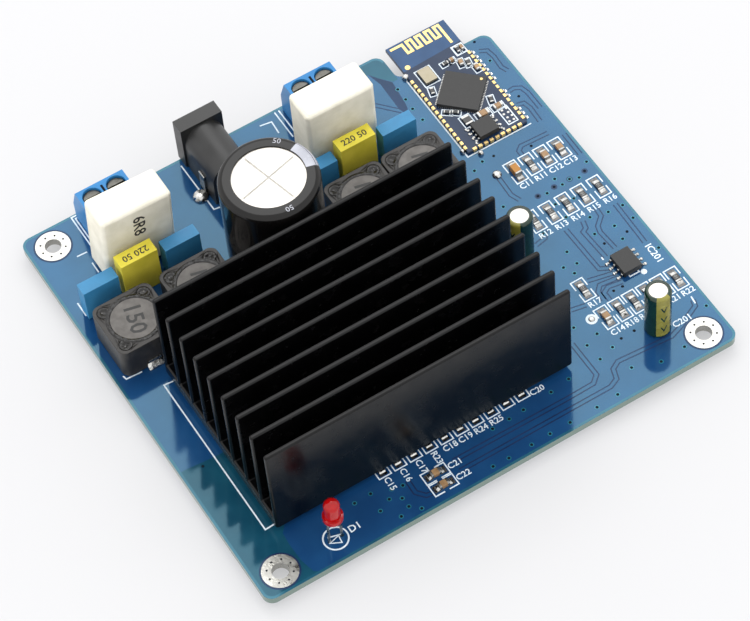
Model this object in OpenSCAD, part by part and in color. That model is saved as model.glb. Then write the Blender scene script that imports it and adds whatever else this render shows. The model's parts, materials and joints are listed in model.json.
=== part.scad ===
// Two-channel audio amplifier board: a power stage under a finned heatsink, its output
// filters, speaker terminals and power jack, and a wireless module on the right.
// Millimetres. Pieces are laid out from the board's front left corner, with z = 0 on the
// board's top face, and then moved so that the part stands on its solder stubs with its
// footprint centred on the origin: X runs along the front edge, Y to the back, Z up.

/* [Board] */
// Thickness of the board
board_t = 1.6; // [1:0.1:2.4]
// Radius of the board's outer corners
board_corner_r = 2; // [0.5:0.5:4]
// Width of the right-hand zone with the wireless module
zone_w = 20.3; // [19:0.1:30]
// Depth of the cut under the module's antenna
antenna_cut_d = 7; // [3:0.5:9]
// Radius in the cut's inner corner
antenna_cut_r = 1.5; // [0.5:0.5:3]
// Free strip in front of the heatsink
front_strip_d = 11.1; // [10:0.1:20]
// Free strip left of the first inductor
edge_gap = 2; // [1:0.1:6]
// Distance from the terminals' wire side to the back edge
back_inset = 0.9; // [0:0.1:4]
// Length of the trimmed leads under the board
stub_h = 2; // [1:0.1:4]

/* [Mounting holes] */
// Inner diameter of a plated mounting hole
hole_d = 3.2; // [2.5:0.1:4]
// Diameter of the pad around a mounting hole
pad_d = 6.8; // [5:0.1:8]
// Hole centre from the left and right edges
hole_inset_x = 5; // [4.5:0.1:6]
// Hole centre from the front and back edges
hole_inset_y = 4.25; // [4.1:0.05:5]
// Thickness of a pad above and below the board
pad_t = 0.07; // [0.03:0.01:0.15]
// Wall of the plated barrel
barrel_t = 0.3; // [0.2:0.05:0.4]

/* [Heatsink] */
// Length of the heatsink along the board's front edge
sink_w = 62.5; // [50:0.5:80]
// Depth over all fins
sink_d = 40; // [34:0.5:50]
// Height from the underside to the fin tips
sink_h = 23.2; // [12:0.1:35]
// Thickness of the base under the fins
sink_base_t = 3; // [2:0.1:5]
// Thickness of a fin
fin_t = 1; // [0.8:0.1:2]
// Number of fins
fin_count = 9; // [6:1:10]
// Left end of the heatsink from the board's left edge
sink_x = 8.5; // [5:0.1:12]
// Diameter of the two screws that hold the heatsink from below
sink_screw_d = 3; // [2:0.5:4]
// Distance between those screws
sink_screw_spacing = 44; // [30:1:48]
// Diameter of their heads
sink_screw_head_d = 5.5; // [4.5:0.1:7]
// Height of their heads
sink_screw_head_h = 2; // [1:0.1:3]
// Depth of their threaded holes in the base
sink_thread_depth = 2.4; // [1:0.1:2.8]

/* [Amplifier chip] */
// Width of the chip's body
amp_w = 10.3; // [8:0.1:14]
// Depth of the chip's body
amp_d = 7.5; // [5:0.1:10]
// Height of the chip's top above the board
amp_h = 1.2; // [1:0.1:4]
// Leads on each long side
amp_lead_count = 18; // [8:1:18]
// Distance between two leads
amp_lead_pitch = 0.5; // [0.4:0.05:0.5]
// Thickness of the pad between the chip and the heatsink
thermal_pad_t = 0.3; // [0.2:0.1:2]

/* [Inductors] */
// Side of an inductor's square shield
ind_w = 12.2; // [10:0.1:15]
// Height of the shield
ind_h = 7.5; // [5:0.1:10]
// Radius of the shield's corners
ind_corner_r = 1.6; // [0.5:0.1:2]
// Wall between the shield's bore and its side
ind_wall = 1; // [0.6:0.1:1.4]
// Gap between the drum core and the bore
core_gap = 0.4; // [0.2:0.05:0.8]
// Thickness of the drum core's two flanges
core_flange_t = 1.3; // [0.8:0.1:2]
// Diameter of the drum core's post
core_post_d = 4.4; // [3:0.1:6]
// Thickness of the clips' sheet metal
clip_t = 0.25; // [0.15:0.05:0.4]
// Width of a clip
clip_w = 2.6; // [1.5:0.1:4]
// Gap between the left pair
ind_gap_left = 1.9; // [0.8:0.1:4]
// Gap between the right pair
ind_gap_right = 0.3; // [0.2:0.1:4]
// Gap from the heatsink to the inductors
row_gap_inductor = 3.3; // [2:0.1:8]

/* [Main capacitor] */
// Diameter over the sleeve
cap_d = 19; // [14:0.5:22]
// Height of its top above the board
cap_h = 25.5; // [16:0.5:40]
// Diameter of the bare disc in the top
cap_disc_d = 13.8; // [8:0.1:14]
// Radius of the shoulder at its top edge
cap_shoulder_r = 1.2; // [0.5:0.1:2]
// Gap to the inductor on its left
cap_gap_left = 1.5; // [1:0.1:6]
// Gap to the inductor on its right
cap_gap_right = 2.7; // [1:0.1:6]
// Gap to the heatsink
cap_gap_front = 1.4; // [1:0.1:6]
// Distance between its leads
cap_pitch = 7.5; // [5:0.5:8]

/* [Cement resistors] */
// Width of a resistor
res_w = 14.8; // [12:0.1:16]
// Depth of a resistor
res_d = 7.2; // [5:0.1:9]
// Height of a resistor's body
res_h = 17.5; // [10:0.5:25]
// Radius of its cast edges
res_round = 1; // [0.3:0.1:1.5]
// Clear height under the body
res_standoff = 0.8; // [0.5:0.1:3]
// Sideways lean of the left resistor, in degrees
res_lean = 3; // [0:0.5:4]
// Distance between a resistor's leads
res_pitch = 5; // [4:0.5:9]
// Gap to the film capacitors
row_gap_resistor = 1.6; // [1:0.1:5]

/* [Film capacitors] */
// Width of a yellow capacitor
yellow_w = 7.6; // [6:0.1:8.5]
// Depth of a yellow capacitor
yellow_d = 3.1; // [2:0.1:5]
// Height of a yellow capacitor
yellow_h = 10.5; // [6:0.1:14]
// Width of a blue capacitor
blue_w = 7.3; // [6:0.1:8]
// Depth of a blue capacitor
blue_d = 2.7; // [2:0.1:5]
// Height of a blue capacitor
blue_h = 8.3; // [5:0.1:12]
// Distance between a film capacitor's leads
film_pitch = 5; // [3.5:0.5:5]
// Gap to the inductors
row_gap_film = 2.9; // [1.5:0.1:8]

/* [Speaker terminals] */
// Distance between two poles
pole_pitch = 5.08; // [5:0.01:6.5]
// Depth of a terminal
term_d = 7.8; // [7.8:0.1:10]
// Height of a terminal
term_h = 9.8; // [9.5:0.1:13]
// Height of the upright part of the wire side
term_back_h = 4.8; // [4.5:0.1:6]
// Set-back of the top behind the wire side
term_slope = 1.9; // [0.5:0.1:2]
// Rim between the top's back edge and the screw wells
well_rim = 0.4; // [0.2:0.1:0.6]
// Diameter of a screw well
well_d = 3.9; // [3.7:0.1:4.2]
// Diameter of a screw's head
screw_head_d = 3.5; // [3:0.1:3.6]
// Height of a screw's head
screw_head_h = 1.4; // [0.8:0.1:1.8]
// Depth of the head below the top
screw_recess = 0.5; // [0:0.1:1]
// Diameter of a screw's shank
screw_d = 2.4; // [2:0.1:2.5]
// Travel of a wire clamp
clamp_travel = 1.6; // [0.5:0.1:1.7]
// Gap to the cement resistors
row_gap_terminal = 2.4; // [1.5:0.1:8]

/* [Power jack] */
// Width of the jack's head
jack_w = 9; // [8.5:0.1:12]
// Height of the jack's head
jack_h = 11; // [10.8:0.1:14]
// Length of the jack
jack_l = 14; // [13:0.1:17]
// Thickness of the head
jack_head_t = 3.1; // [2:0.1:5]
// Overhang past the board's back edge
jack_over = 0.7; // [0:0.1:3]
// Diameter of the barrel behind the head
jack_barrel_d = 8.2; // [7.8:0.1:8.5]
// Height of the socket's axis above the board
jack_axis_h = 6.3; // [6:0.1:6.6]
// Diameter of the socket
socket_d = 6.4; // [5.5:0.1:6.6]
// Depth of the socket
socket_depth = 9.5; // [8:0.1:10]
// Diameter of the centre pin
centre_pin_d = 2; // [1.3:0.1:2.5]

/* [Wireless module] */
// Width of the module
module_w = 13.3; // [12.6:0.1:14]
// Length of the module
module_l = 30; // [28.5:0.1:34]
// Thickness of the module's board
module_t = 0.8; // [0.6:0.1:1.2]
// Side of the radio chip, which sits at 45 degrees
radio_w = 8.2; // [5:0.1:8.4]
// Height of the radio chip
radio_h = 0.85; // [0.5:0.05:1.2]

/* [Small parts] */
// Diameter of a small electrolytic capacitor
small_cap_d = 5; // [4:0.1:5.5]
// Height of its top above the board
small_cap_h = 12; // [7:0.5:16]
// Diameter of the indicator lamp
led_d = 3; // [2:0.1:4]
// Height of the lamp's lens
led_h = 5.5; // [4:0.1:7]
// Height of the lens above the board
led_standoff = 7.2; // [1:0.1:10]
// Length of a chip part
chip_l = 2; // [1.6:0.1:2.2]
// Width of a chip part
chip_w = 1.25; // [0.8:0.05:1.4]

/* [Hidden] */
$fn = 64;

// Clearances: a wire in its board hole, a solder ring on its wire, a fit
wire_clear = 0.1;
ring_clear = 0.02;
fit_clear = 0.05;

// Layout along the front edge, from the left
zone_gap_inductor = 3.4;
zone_gap_sink = 8.7;
ind_1_x = edge_gap + ind_w / 2;
ind_2_x = ind_1_x + ind_w + ind_gap_left;
cap_x = ind_2_x + ind_w / 2 + cap_gap_left + cap_d / 2;
ind_3_x = cap_x + cap_d / 2 + cap_gap_right + ind_w / 2;
ind_4_x = ind_3_x + ind_w + ind_gap_right;
ind_xs = [ind_1_x, ind_2_x, ind_3_x, ind_4_x];
channel_xs = [(ind_1_x + ind_2_x) / 2, (ind_3_x + ind_4_x) / 2];
zone_x = max(ind_4_x + ind_w / 2 + zone_gap_inductor, sink_x + sink_w + zone_gap_sink);
board_w = zone_x + zone_w;

// Layout from the front edge to the back
film_d = max(yellow_d, blue_d);
sink_y = front_strip_d;
sink_back = sink_y + sink_d;
ind_y = sink_back + row_gap_inductor + ind_w / 2;
cap_y = sink_back + cap_gap_front + cap_d / 2;
film_y = ind_y + ind_w / 2 + row_gap_film + film_d / 2;
res_y = film_y + film_d / 2 + row_gap_resistor + res_d / 2;
term_back = res_y + res_d / 2 + row_gap_terminal + term_d;
board_d = term_back + back_inset;

// Places of the two channels' parts from each channel's centre line
yellow_offsets = [-0.6, -2.1];
res_offsets = [1.65, -2.45];
term_offsets = [1.85, -1.4];
yellow_xs = channel_xs + yellow_offsets;
blue_side_gap = 0.8;
blue_xs = [
    yellow_xs[0] - yellow_w / 2 - blue_side_gap - blue_w / 2,
    yellow_xs[0] + yellow_w / 2 + 2 * blue_side_gap + blue_w / 2,
    yellow_xs[1] - yellow_w / 2 - blue_side_gap - blue_w / 2,
    yellow_xs[1] + yellow_w / 2 + 2 * blue_side_gap + blue_w / 2];
res_xs = channel_xs + res_offsets;
res_leans = [res_lean, 0];
term_xs = channel_xs + term_offsets;
term_w = 2 * pole_pitch;
pole_xs = [for (x = term_xs) for (side = [-1, 1]) x + side * pole_pitch / 2];

// Heights
foot_h = max(stub_h, sink_screw_head_h);
under_z = -board_t;
sink_z = amp_h + thermal_pad_t;
sink_mid_x = sink_x + sink_w / 2;
sink_mid_y = sink_y + sink_d / 2;
sink_screw_xs = [sink_mid_x - sink_screw_spacing / 2, sink_mid_x + sink_screw_spacing / 2];

// Terminal: depths are measured inwards from the wire side
term_floor_t = 0.8;
ledge_t = 0.6;
clamp_clear = 0.15;
clamp_wall = 0.6;
clamp_top_t = 1;
clamp_w = 3.6;
clamp_d = 3;
tab_t = 0.5;
tab_w = 2;
entry_w = 2.6;
screw_slot_w = 0.6;
screw_slot_h = 0.7;
term_pin_r = 0.5;
screw_v = term_slope + well_rim + well_d / 2;
head_z = term_h - screw_recess - screw_head_h;
ledge_z = head_z - fit_clear - ledge_t;
clamp_top_z = ledge_z - clamp_clear - clamp_travel;
tab_z = clamp_top_z - clamp_top_t - 2 * clamp_clear - tab_t + fit_clear;
clamp_bottom_z = term_floor_t + clamp_clear;
cavity_w = clamp_w + 2 * clamp_clear;
cavity_v = screw_v - clamp_d / 2 - clamp_clear;
leg_v = screw_v + clamp_d / 2 + 3 * clamp_clear;
cavity_end_v = leg_v + tab_t;
term_pin_y = term_back - leg_v - tab_t / 2;

// Jack
jack_offset = 0.3;
side_blade_back = 9.6;
jack_x = cap_x + jack_offset;
jack_back = board_d + jack_over;
jack_front = jack_back - jack_l;
blade_t = 0.4;
blade_w = 2;
leaf_slot_w = blade_w + 4 * wire_clear;
leaf_l = 7;
leaf_y = jack_back - socket_depth;
jack_blades = [
    [jack_x, jack_front - blade_t / 2, blade_w, blade_t],
    [jack_x, leaf_y + blade_t / 2, blade_w, blade_t],
    [jack_x - jack_barrel_d / 2 - blade_t / 2, jack_back - side_blade_back, blade_t, blade_w]];

// Right-hand zone: the module from the zone's left side, and its chips from the module's
// centre line and its front or back edge
module_inset = 0.1;
module_offset = 8.1;
radio_from_back = 17.3;
crystal_left = 3.4;
crystal_from_back = 10.2;
memory_left = 1.1;
memory_from_front = 2.8;
row_a_gap = 8.4;
module_x = zone_x + module_offset;
module_back = board_d - module_inset;
module_front = module_back - module_l;
radio_y = module_back - radio_from_back;
crystal_x = module_x - crystal_left;
crystal_y = module_back - crystal_from_back;
memory_x = module_x - memory_left;
memory_y = module_front + memory_from_front;
row_a_y = module_front - row_a_gap;
op_amp_offset = 12.1;
op_amp_x = zone_x + op_amp_offset;
op_amp_y = 24.8;

// Small upright parts: one capacitor in the zone, one beside the heatsink, and the lamp
small_cap_offset = 9.1;
small_cap_gap = 3.6;
small_cap_ys = [10, 37.8];
small_cap_places = [
    [zone_x + small_cap_offset, small_cap_ys[0]],
    [sink_x + sink_w + small_cap_gap + small_cap_d / 2, small_cap_ys[1]]];
led_offset = 8.1;
led_x = sink_x + led_offset;
led_y = 4.5;

// Rows of chip parts, four in the zone and one under the heatsink's front: first place, step along X,
// place along Y, kinds from left to right (R resistor, C ceramic capacitor, T tantalum capacitor)
row_starts = [6.7, 3.4, 2.4, 2.5, 22.1];
row_steps = [3.3, 3.6, 0, 3.1, 3.28];
row_b_y = 42.4;
row_c_y = 24.4;
row_d_y = 17;
row_e_inset = 1.85;
chip_rows = [
    [zone_x + row_starts[0], row_steps[0], row_a_y, "TRCC"],
    [zone_x + row_starts[1], row_steps[1], row_b_y, "RRRRR"],
    [zone_x + row_starts[2], row_steps[2], row_c_y, "R"],
    [zone_x + row_starts[3], row_steps[3], row_d_y, "CRRRRR"],
    [sink_x + row_starts[4], row_steps[4], sink_y + row_e_inset, "CCCRCCRRRC"]];
// Two ceramic capacitors that lie along X in front of the heatsink
pair_offset = 29.8;
pair_x = sink_x + pair_offset;
pair_ys = [6, 3.2];

// Wire radii
thin_r = 0.3;
thick_r = 0.4;
lamp_r = 0.25;
lamp_pitch = 2.54;
small_pitch = 2;

// Height of a resistor's underside above one of its leads, where the lead ends just below it
function res_foot(i, side) =
    res_standoff - fit_clear - (side * res_pitch / 2 + thick_r) * tan(res_leans[i]);

// Every round lead: x, y, radius, height of its upper end
function pair_of_leads(x, y, pitch, r, top) = [[x - pitch / 2, y, r, top], [x + pitch / 2, y, r, top]];
lead_bite = 0.6;
film_lift = 0.2;
cap_lift = 0.3;
bung_t = 0.9;
round_leads = [
    for (i = [0, 1], side = [-1, 1]) [res_xs[i] + side * res_pitch / 2, res_y, thick_r, res_foot(i, side)],
    for (x = yellow_xs) each pair_of_leads(x, film_y, film_pitch, thin_r, film_lift + lead_bite),
    for (x = blue_xs) each pair_of_leads(x, film_y, film_pitch, thin_r, film_lift + lead_bite),
    each pair_of_leads(cap_x, cap_y, cap_pitch, thick_r, cap_lift + lead_bite),
    for (p = small_cap_places) each pair_of_leads(p[0], p[1], small_pitch, lamp_r, cap_lift + lead_bite),
    each pair_of_leads(led_x, led_y, lamp_pitch, lamp_r, led_standoff + lead_bite)];
term_pins = [for (x = pole_xs) [x, term_pin_y, term_pin_r, term_floor_t]];
mount_places = [
    [hole_inset_x, hole_inset_y],
    [board_w - hole_inset_x, hole_inset_y],
    [hole_inset_x, board_d - hole_inset_y]];

// Moves the laid-out board into the part's own frame
module placed() {
    translate([-board_w / 2, -jack_back / 2, foot_h + board_t]) children();
}

// Helpers
module box(corner, size) {
    translate(corner) cube(size);
}

module block(x, y, z, size) {
    translate([x - size[0] / 2, y - size[1] / 2, z]) cube(size);
}

module post(x, y, z, r, h) {
    translate([x, y, z]) cylinder(r = r, h = h);
}

module rounded_plate(w, d, t, r) {
    box([r, 0, 0], [w - 2 * r, d, t]);
    box([0, r, 0], [w, d - 2 * r, t]);
    for (x = [r, w - r], y = [r, d - r]) post(x, y, 0, r, t);
}

// Fills the inner corner at the origin between +X and +Y
module corner_fillet(r, t) difference() {
    cube([r, r, t]);
    post(r, r, -1, r, t + 2);
}

module lead_sockets(x, y, pitch, r, z) {
    for (side = [-1, 1]) {
        post(x + side * pitch / 2, y, z - lead_bite, r + wire_clear, 2 * lead_bite + wire_clear);
    }
}

// A gull-wing lead that leaves a body at height rise and lands on the board, seen along X;
// its foot and its upper run are shares of its reach
foot_share = 0.45;
knee_share = 0.3;
module gull_lead(reach, rise, t, w) {
    foot = reach * foot_share;
    knee = reach * knee_share;
    rotate([90, 0, 90]) translate([0, 0, -w / 2]) linear_extrude(w) polygon([
        [0, rise], [knee, rise], [reach - foot, t], [reach, t],
        [reach, 0], [reach - foot - t, 0], [knee - t, rise - t], [0, rise - t]]);
}

// Board
module board() color("steelblue") placed() difference() {
    translate([0, 0, under_z]) {
        rounded_plate(zone_x, board_d, board_t, board_corner_r);
        rounded_plate(board_w, board_d - antenna_cut_d, board_t, board_corner_r);
        translate([zone_x, board_d - antenna_cut_d, 0]) corner_fillet(antenna_cut_r, board_t);
    }
    for (p = mount_places) post(p[0], p[1], under_z - 1, hole_d / 2 + barrel_t + ring_clear, board_t + 2);
    for (p = concat(round_leads, term_pins)) post(p[0], p[1], under_z - 1, p[2] + wire_clear, board_t + 2);
    for (x = sink_screw_xs) post(x, sink_mid_y, under_z - 1, sink_screw_d / 2 + wire_clear, board_t + 2);
    for (b = jack_blades) {
        block(b[0], b[1], under_z - 1, [b[2] + 2 * wire_clear, b[3] + 2 * wire_clear, board_t + 2]);
    }
}

module mounting_pads() color("gainsboro") placed() for (p = mount_places) {
    translate([p[0], p[1], 0]) difference() {
        union() {
            post(0, 0, 0, pad_d / 2, pad_t);
            post(0, 0, under_z - pad_t, pad_d / 2, pad_t);
            post(0, 0, under_z - pad_t, hole_d / 2 + barrel_t, board_t + 2 * pad_t);
        }
        post(0, 0, under_z - 1, hole_d / 2, board_t + 2);
    }
}

// Solder: how far a joint reaches past its lead at the tip and at the board, and its height
solder_tip = 0.2;
solder_foot = 0.5;
solder_h = 1.2;
module solder_joints() color("silver") placed() {
    for (p = concat(round_leads, term_pins)) translate([p[0], p[1], under_z - solder_h]) difference() {
        cylinder(r1 = p[2] + solder_tip, r2 = p[2] + solder_foot, h = solder_h);
        post(0, 0, -1, p[2] + ring_clear, solder_h + 2);
    }
    for (b = jack_blades) translate([b[0], b[1], under_z - solder_h]) difference() {
        block(0, 0, 0, [b[2] + 2 * solder_foot, b[3] + 2 * solder_foot, solder_h]);
        block(0, 0, -1, [b[2] + 2 * ring_clear, b[3] + 2 * ring_clear, solder_h + 2]);
    }
}

// Heatsink and amplifier chip
fin_pitch = (sink_d - fin_t) / (fin_count - 1);
module heatsink() color("dimgray") placed() translate([sink_x, sink_y, sink_z]) difference() {
    union() {
        cube([sink_w, sink_d, sink_base_t]);
        for (i = [0:fin_count - 1]) box([0, i * fin_pitch, 0], [sink_w, fin_t, sink_h]);
    }
    for (x = sink_screw_xs) {
        post(x - sink_x, sink_d / 2, -1, sink_screw_d / 2 + ring_clear, 1 + sink_thread_depth + wire_clear);
    }
}

drive_slot_w = 0.8;
drive_slot_l = 3.3;
drive_slot_depth = 1;
module heatsink_screws() color("silver") placed() for (x = sink_screw_xs) {
    translate([x, sink_mid_y, under_z]) difference() {
        union() {
            post(0, 0, -sink_screw_head_h, sink_screw_head_d / 2, sink_screw_head_h);
            post(0, 0, -1, sink_screw_d / 2, 1 + board_t + sink_z + sink_thread_depth);
        }
        block(0, 0, -sink_screw_head_h - 1, [drive_slot_l, drive_slot_w, 1 + drive_slot_depth]);
        block(0, 0, -sink_screw_head_h - 1, [drive_slot_w, drive_slot_l, 1 + drive_slot_depth]);
    }
}

module thermal_pad() color("lightgray") placed() {
    block(sink_mid_x, sink_mid_y, amp_h, [amp_w, amp_d, thermal_pad_t]);
}

amp_gap = 0.1;
amp_lead_w = amp_lead_pitch / 2;
lead_sheet_t = 0.2;
amp_lead_reach = 1.4;
module amplifier_chip_body() color("black") placed() {
    block(sink_mid_x, sink_mid_y, amp_gap, [amp_w, amp_d, amp_h - amp_gap]);
}

module amplifier_chip_leads() color("silver") placed() translate([sink_mid_x, sink_mid_y, 0]) {
    for (turn = [0, 180], i = [0:amp_lead_count - 1]) rotate(turn) {
        translate([(i - (amp_lead_count - 1) / 2) * amp_lead_pitch, amp_d / 2, 0]) {
            gull_lead(amp_lead_reach, amp_h / 2, lead_sheet_t, amp_lead_w);
        }
    }
}

// Inductors
bore_r = ind_w / 2 - ind_wall;
core_r = bore_r - core_gap;
pocket_r = 1.3;
pocket_inset = 1.96;
pocket_at = ind_w / 2 - pocket_inset;
pocket_depth = 1.2;
resin_sink = 0.3;
clip_rise = 2.2;
clip_bite = 1.6;
clip_reach = ind_wall + core_gap + clip_bite;
module at_inductor(i) placed() translate([ind_xs[i - 1], ind_y, 0]) children();

module pocket(z, r, depth) for (x = [-1, 1], y = [-1, 1]) {
    translate([x * pocket_at, y * pocket_at, z]) cylinder(r = r, h = depth);
}

module inductor_shield(i) color("darkslategray") at_inductor(i) difference() {
    translate([-ind_w / 2, -ind_w / 2, clip_t]) rounded_plate(ind_w, ind_w, ind_h - clip_t, ind_corner_r);
    cylinder(r = bore_r, h = 2 * ind_h);
    pocket(ind_h - pocket_depth, pocket_r, 2 * pocket_depth);
}

module inductor_core(i) color("gray") at_inductor(i) {
    translate([0, 0, clip_t]) cylinder(r = core_r, h = core_flange_t);
    translate([0, 0, clip_t]) cylinder(d = core_post_d, h = ind_h - clip_t - core_flange_t);
    translate([0, 0, ind_h - core_flange_t]) cylinder(r = core_r, h = core_flange_t);
}

module inductor_windings() color("peru") for (i = [1:4]) at_inductor(i) {
    translate([0, 0, clip_t + core_flange_t]) difference() {
        cylinder(r = core_r - fit_clear, h = ind_h - clip_t - 2 * core_flange_t);
        translate([0, 0, -1]) cylinder(d = core_post_d + 2 * fit_clear, h = ind_h + 2);
    }
}

module inductor_clips() color("silver") for (i = [1:4]) at_inductor(i) for (turn = [0, 180]) rotate(turn) {
    block(0, -ind_w / 2 - clip_t / 2, 0, [clip_w, clip_t, clip_rise]);
    box([-clip_w / 2, -ind_w / 2 - clip_t, 0], [clip_w, clip_reach + clip_t, clip_t]);
}

module inductor_resin() color("black") for (i = [1:4]) at_inductor(i) difference() {
    pocket(ind_h - pocket_depth, pocket_r - fit_clear, pocket_depth - resin_sink);
    cylinder(r = core_r + fit_clear, h = 2 * ind_h);
}

// Electrolytic capacitors: the section of a can with a rounded shoulder, and a sleeve around it
function shoulder(r, top, round_r) =
    [for (a = [0:15:90]) [r - round_r + round_r * cos(a), top - round_r + round_r * sin(a)]];

module can(r, bottom, top, round_r) rotate_extrude() {
    polygon(concat([[0, bottom], [r, bottom]], shoulder(r, top, round_r), [[0, top]]));
}

module sleeve(r, t, bottom, top, round_r, disc_r) rotate_extrude() {
    polygon(concat(
        [[r - t, bottom], [r, bottom]], shoulder(r, top, round_r), [[disc_r, top], [disc_r, top - t]],
        [for (p = [6:-1:0]) shoulder(r - t, top - t, round_r - t)[p]]));
}

cap_sleeve_t = 0.25;
cap_bottom = cap_lift + bung_t;
module at_cap() placed() translate([cap_x, cap_y, 0]) children();

module main_capacitor_can() color("whitesmoke") at_cap() {
    inset = cap_sleeve_t + ring_clear;
    can(cap_d / 2 - inset, cap_bottom, cap_h - inset, cap_shoulder_r - inset);
}

module main_capacitor_sleeve() color("black") at_cap() {
    sleeve(cap_d / 2, cap_sleeve_t, cap_bottom, cap_h, cap_shoulder_r, cap_disc_d / 2);
}

module main_capacitor_bung() color("dimgray") at_cap() difference() {
    post(0, 0, cap_lift, cap_d / 2 - 2 * cap_sleeve_t, bung_t);
    lead_sockets(0, 0, cap_pitch, thick_r, cap_lift);
}

small_sleeve_t = 0.15;
small_round_r = 0.6;
small_rim_w = 0.75;
small_disc_r = small_cap_d / 2 - small_rim_w;
module small_capacitor_cans() color("whitesmoke") placed() for (p = small_cap_places) {
    inset = small_sleeve_t + ring_clear;
    translate([p[0], p[1], 0]) difference() {
        can(small_cap_d / 2 - inset, cap_lift, small_cap_h - inset, small_round_r - inset);
        lead_sockets(0, 0, small_pitch, lamp_r, cap_lift);
    }
}

module small_capacitor_sleeves() color("darkgreen") placed() for (p = small_cap_places) {
    translate([p[0], p[1], 0]) {
        sleeve(small_cap_d / 2, small_sleeve_t, cap_lift, small_cap_h, small_round_r, small_disc_r);
    }
}

// Cement resistors and film capacitors
module cast_block(w, d, h, r) intersection() {
    translate([-w / 2, -d / 2, 0]) rounded_plate(w, d, h, r);
    translate([-w / 2, d / 2, 0]) rotate([90, 0, 0]) rounded_plate(w, h, d, r);
    translate([-w / 2, -d / 2, 0]) rotate([90, 0, 90]) rounded_plate(d, h, w, r);
}

module cement_resistor(i) color("ivory") placed() {
    translate([res_xs[i - 1], res_y, res_standoff]) rotate([0, res_leans[i - 1], 0]) {
        cast_block(res_w, res_d, res_h, res_round);
    }
}

module film_capacitor(x, w, d, h) placed() difference() {
    block(x, film_y, film_lift, [w, d, h - film_lift]);
    lead_sockets(x, film_y, film_pitch, thin_r, film_lift);
}

module yellow_film_capacitor(i) color("gold") {
    film_capacitor(yellow_xs[i - 1], yellow_w, yellow_d, yellow_h);
}

module blue_film_capacitor(i) color("cornflowerblue") {
    film_capacitor(blue_xs[i - 1], blue_w, blue_d, blue_h);
}

module component_leads() color("silver") placed() for (p = round_leads) {
    post(p[0], p[1], under_z - stub_h, p[2], board_t + stub_h + p[3]);
}

// Speaker terminals
module at_terminal(i) placed() translate([term_xs[i - 1], term_back, 0]) children();

module at_pole(i) placed() translate([pole_xs[i - 1], term_back, 0]) children();

module terminal_section() polygon([
    [0, 0], [-term_d, 0], [-term_d, term_h], [-term_slope, term_h], [0, term_back_h]]);

module terminal_housing(i) color("dodgerblue") at_terminal(i) difference() {
    rotate([90, 0, 90]) translate([0, 0, -term_w / 2]) linear_extrude(term_w) terminal_section();
    for (x = [-pole_pitch / 2, pole_pitch / 2]) {
        post(x, -screw_v, head_z - fit_clear, well_d / 2, term_h);
        post(x, -screw_v, ledge_z - 1, screw_d / 2 + 2 * fit_clear, term_h);
        box([x - cavity_w / 2, -cavity_end_v, term_floor_t],
            [cavity_w, cavity_end_v - cavity_v, ledge_z - term_floor_t]);
        box([x - entry_w / 2, -cavity_v - 1, clamp_bottom_z + clamp_wall],
            [entry_w, cavity_v + 2, tab_z - clamp_bottom_z - clamp_wall]);
        post(x, -leg_v - tab_t / 2, -1, term_pin_r + fit_clear, term_floor_t + 2);
    }
}

module terminal_screw(i) color("silver") at_pole(i) translate([0, -screw_v, 0]) difference() {
    union() {
        post(0, 0, head_z, screw_head_d / 2, screw_head_h);
        post(0, 0, tab_z + tab_t + fit_clear, screw_d / 2, head_z - tab_z - tab_t);
    }
    block(0, 0, head_z + screw_head_h - screw_slot_h, [screw_head_d + 1, screw_slot_w, screw_head_h]);
}

module terminal_clamp(i) color("lightgray") at_pole(i) translate([0, -screw_v, 0]) difference() {
    block(0, 0, clamp_bottom_z, [clamp_w, clamp_d, clamp_top_z - clamp_bottom_z]);
    block(0, 0, clamp_bottom_z + clamp_wall,
        [clamp_w - 2 * clamp_wall, clamp_d + 2, clamp_top_z - clamp_top_t - clamp_bottom_z - clamp_wall]);
    post(0, 0, clamp_bottom_z + clamp_wall, screw_d / 2 + fit_clear, term_h);
}

module terminal_contacts() color("silver") for (i = [1:4]) at_pole(i) {
    box([-tab_w / 2, -cavity_end_v, tab_z], [tab_w, cavity_end_v - cavity_v - 2 * clamp_clear, tab_t]);
    box([-tab_w / 2, -cavity_end_v, term_floor_t], [tab_w, tab_t, tab_z + tab_t - term_floor_t]);
    post(0, -leg_v - tab_t / 2, under_z - stub_h, term_pin_r, board_t + stub_h + term_floor_t + tab_t);
}

// Power jack
module along_back(x, y, z, r, l) {
    translate([x, y, z]) rotate([-90, 0, 0]) cylinder(r = r, h = l);
}

leaf_drop = 0.5;
leaf_t = 0.3;
leaf_z = jack_axis_h - socket_d / 2 - leaf_drop;
module jack_housing() color("darkslategray") placed() difference() {
    union() {
        box([jack_x - jack_w / 2, jack_back - jack_head_t, 0], [jack_w, jack_head_t, jack_h]);
        along_back(jack_x, jack_front, jack_axis_h, jack_barrel_d / 2, jack_l - 1);
        box([jack_x - jack_barrel_d / 2, jack_front, 0], [jack_barrel_d, jack_l - 1, jack_axis_h]);
    }
    along_back(jack_x, jack_back - socket_depth, jack_axis_h, socket_d / 2, socket_depth + 1);
    along_back(jack_x, jack_front - 1, jack_axis_h, centre_pin_d / 2 + fit_clear, jack_l);
    box([jack_x - leaf_slot_w / 2, leaf_y, leaf_z], [leaf_slot_w, leaf_l, jack_axis_h - leaf_z]);
    block(jack_x, leaf_y + blade_t / 2, -1,
        [blade_w + 2 * wire_clear, blade_t + 2 * wire_clear, jack_axis_h]);
}

module blade(b, top) block(b[0], b[1], under_z - stub_h, [b[2], b[3], board_t + stub_h + top]);

pin_recess = 0.8;
module jack_centre_pin() color("silver") placed() {
    along_back(jack_x, jack_front - blade_t, jack_axis_h, centre_pin_d / 2, jack_l + blade_t - pin_recess);
    blade(jack_blades[0], jack_axis_h + 1);
}

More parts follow.
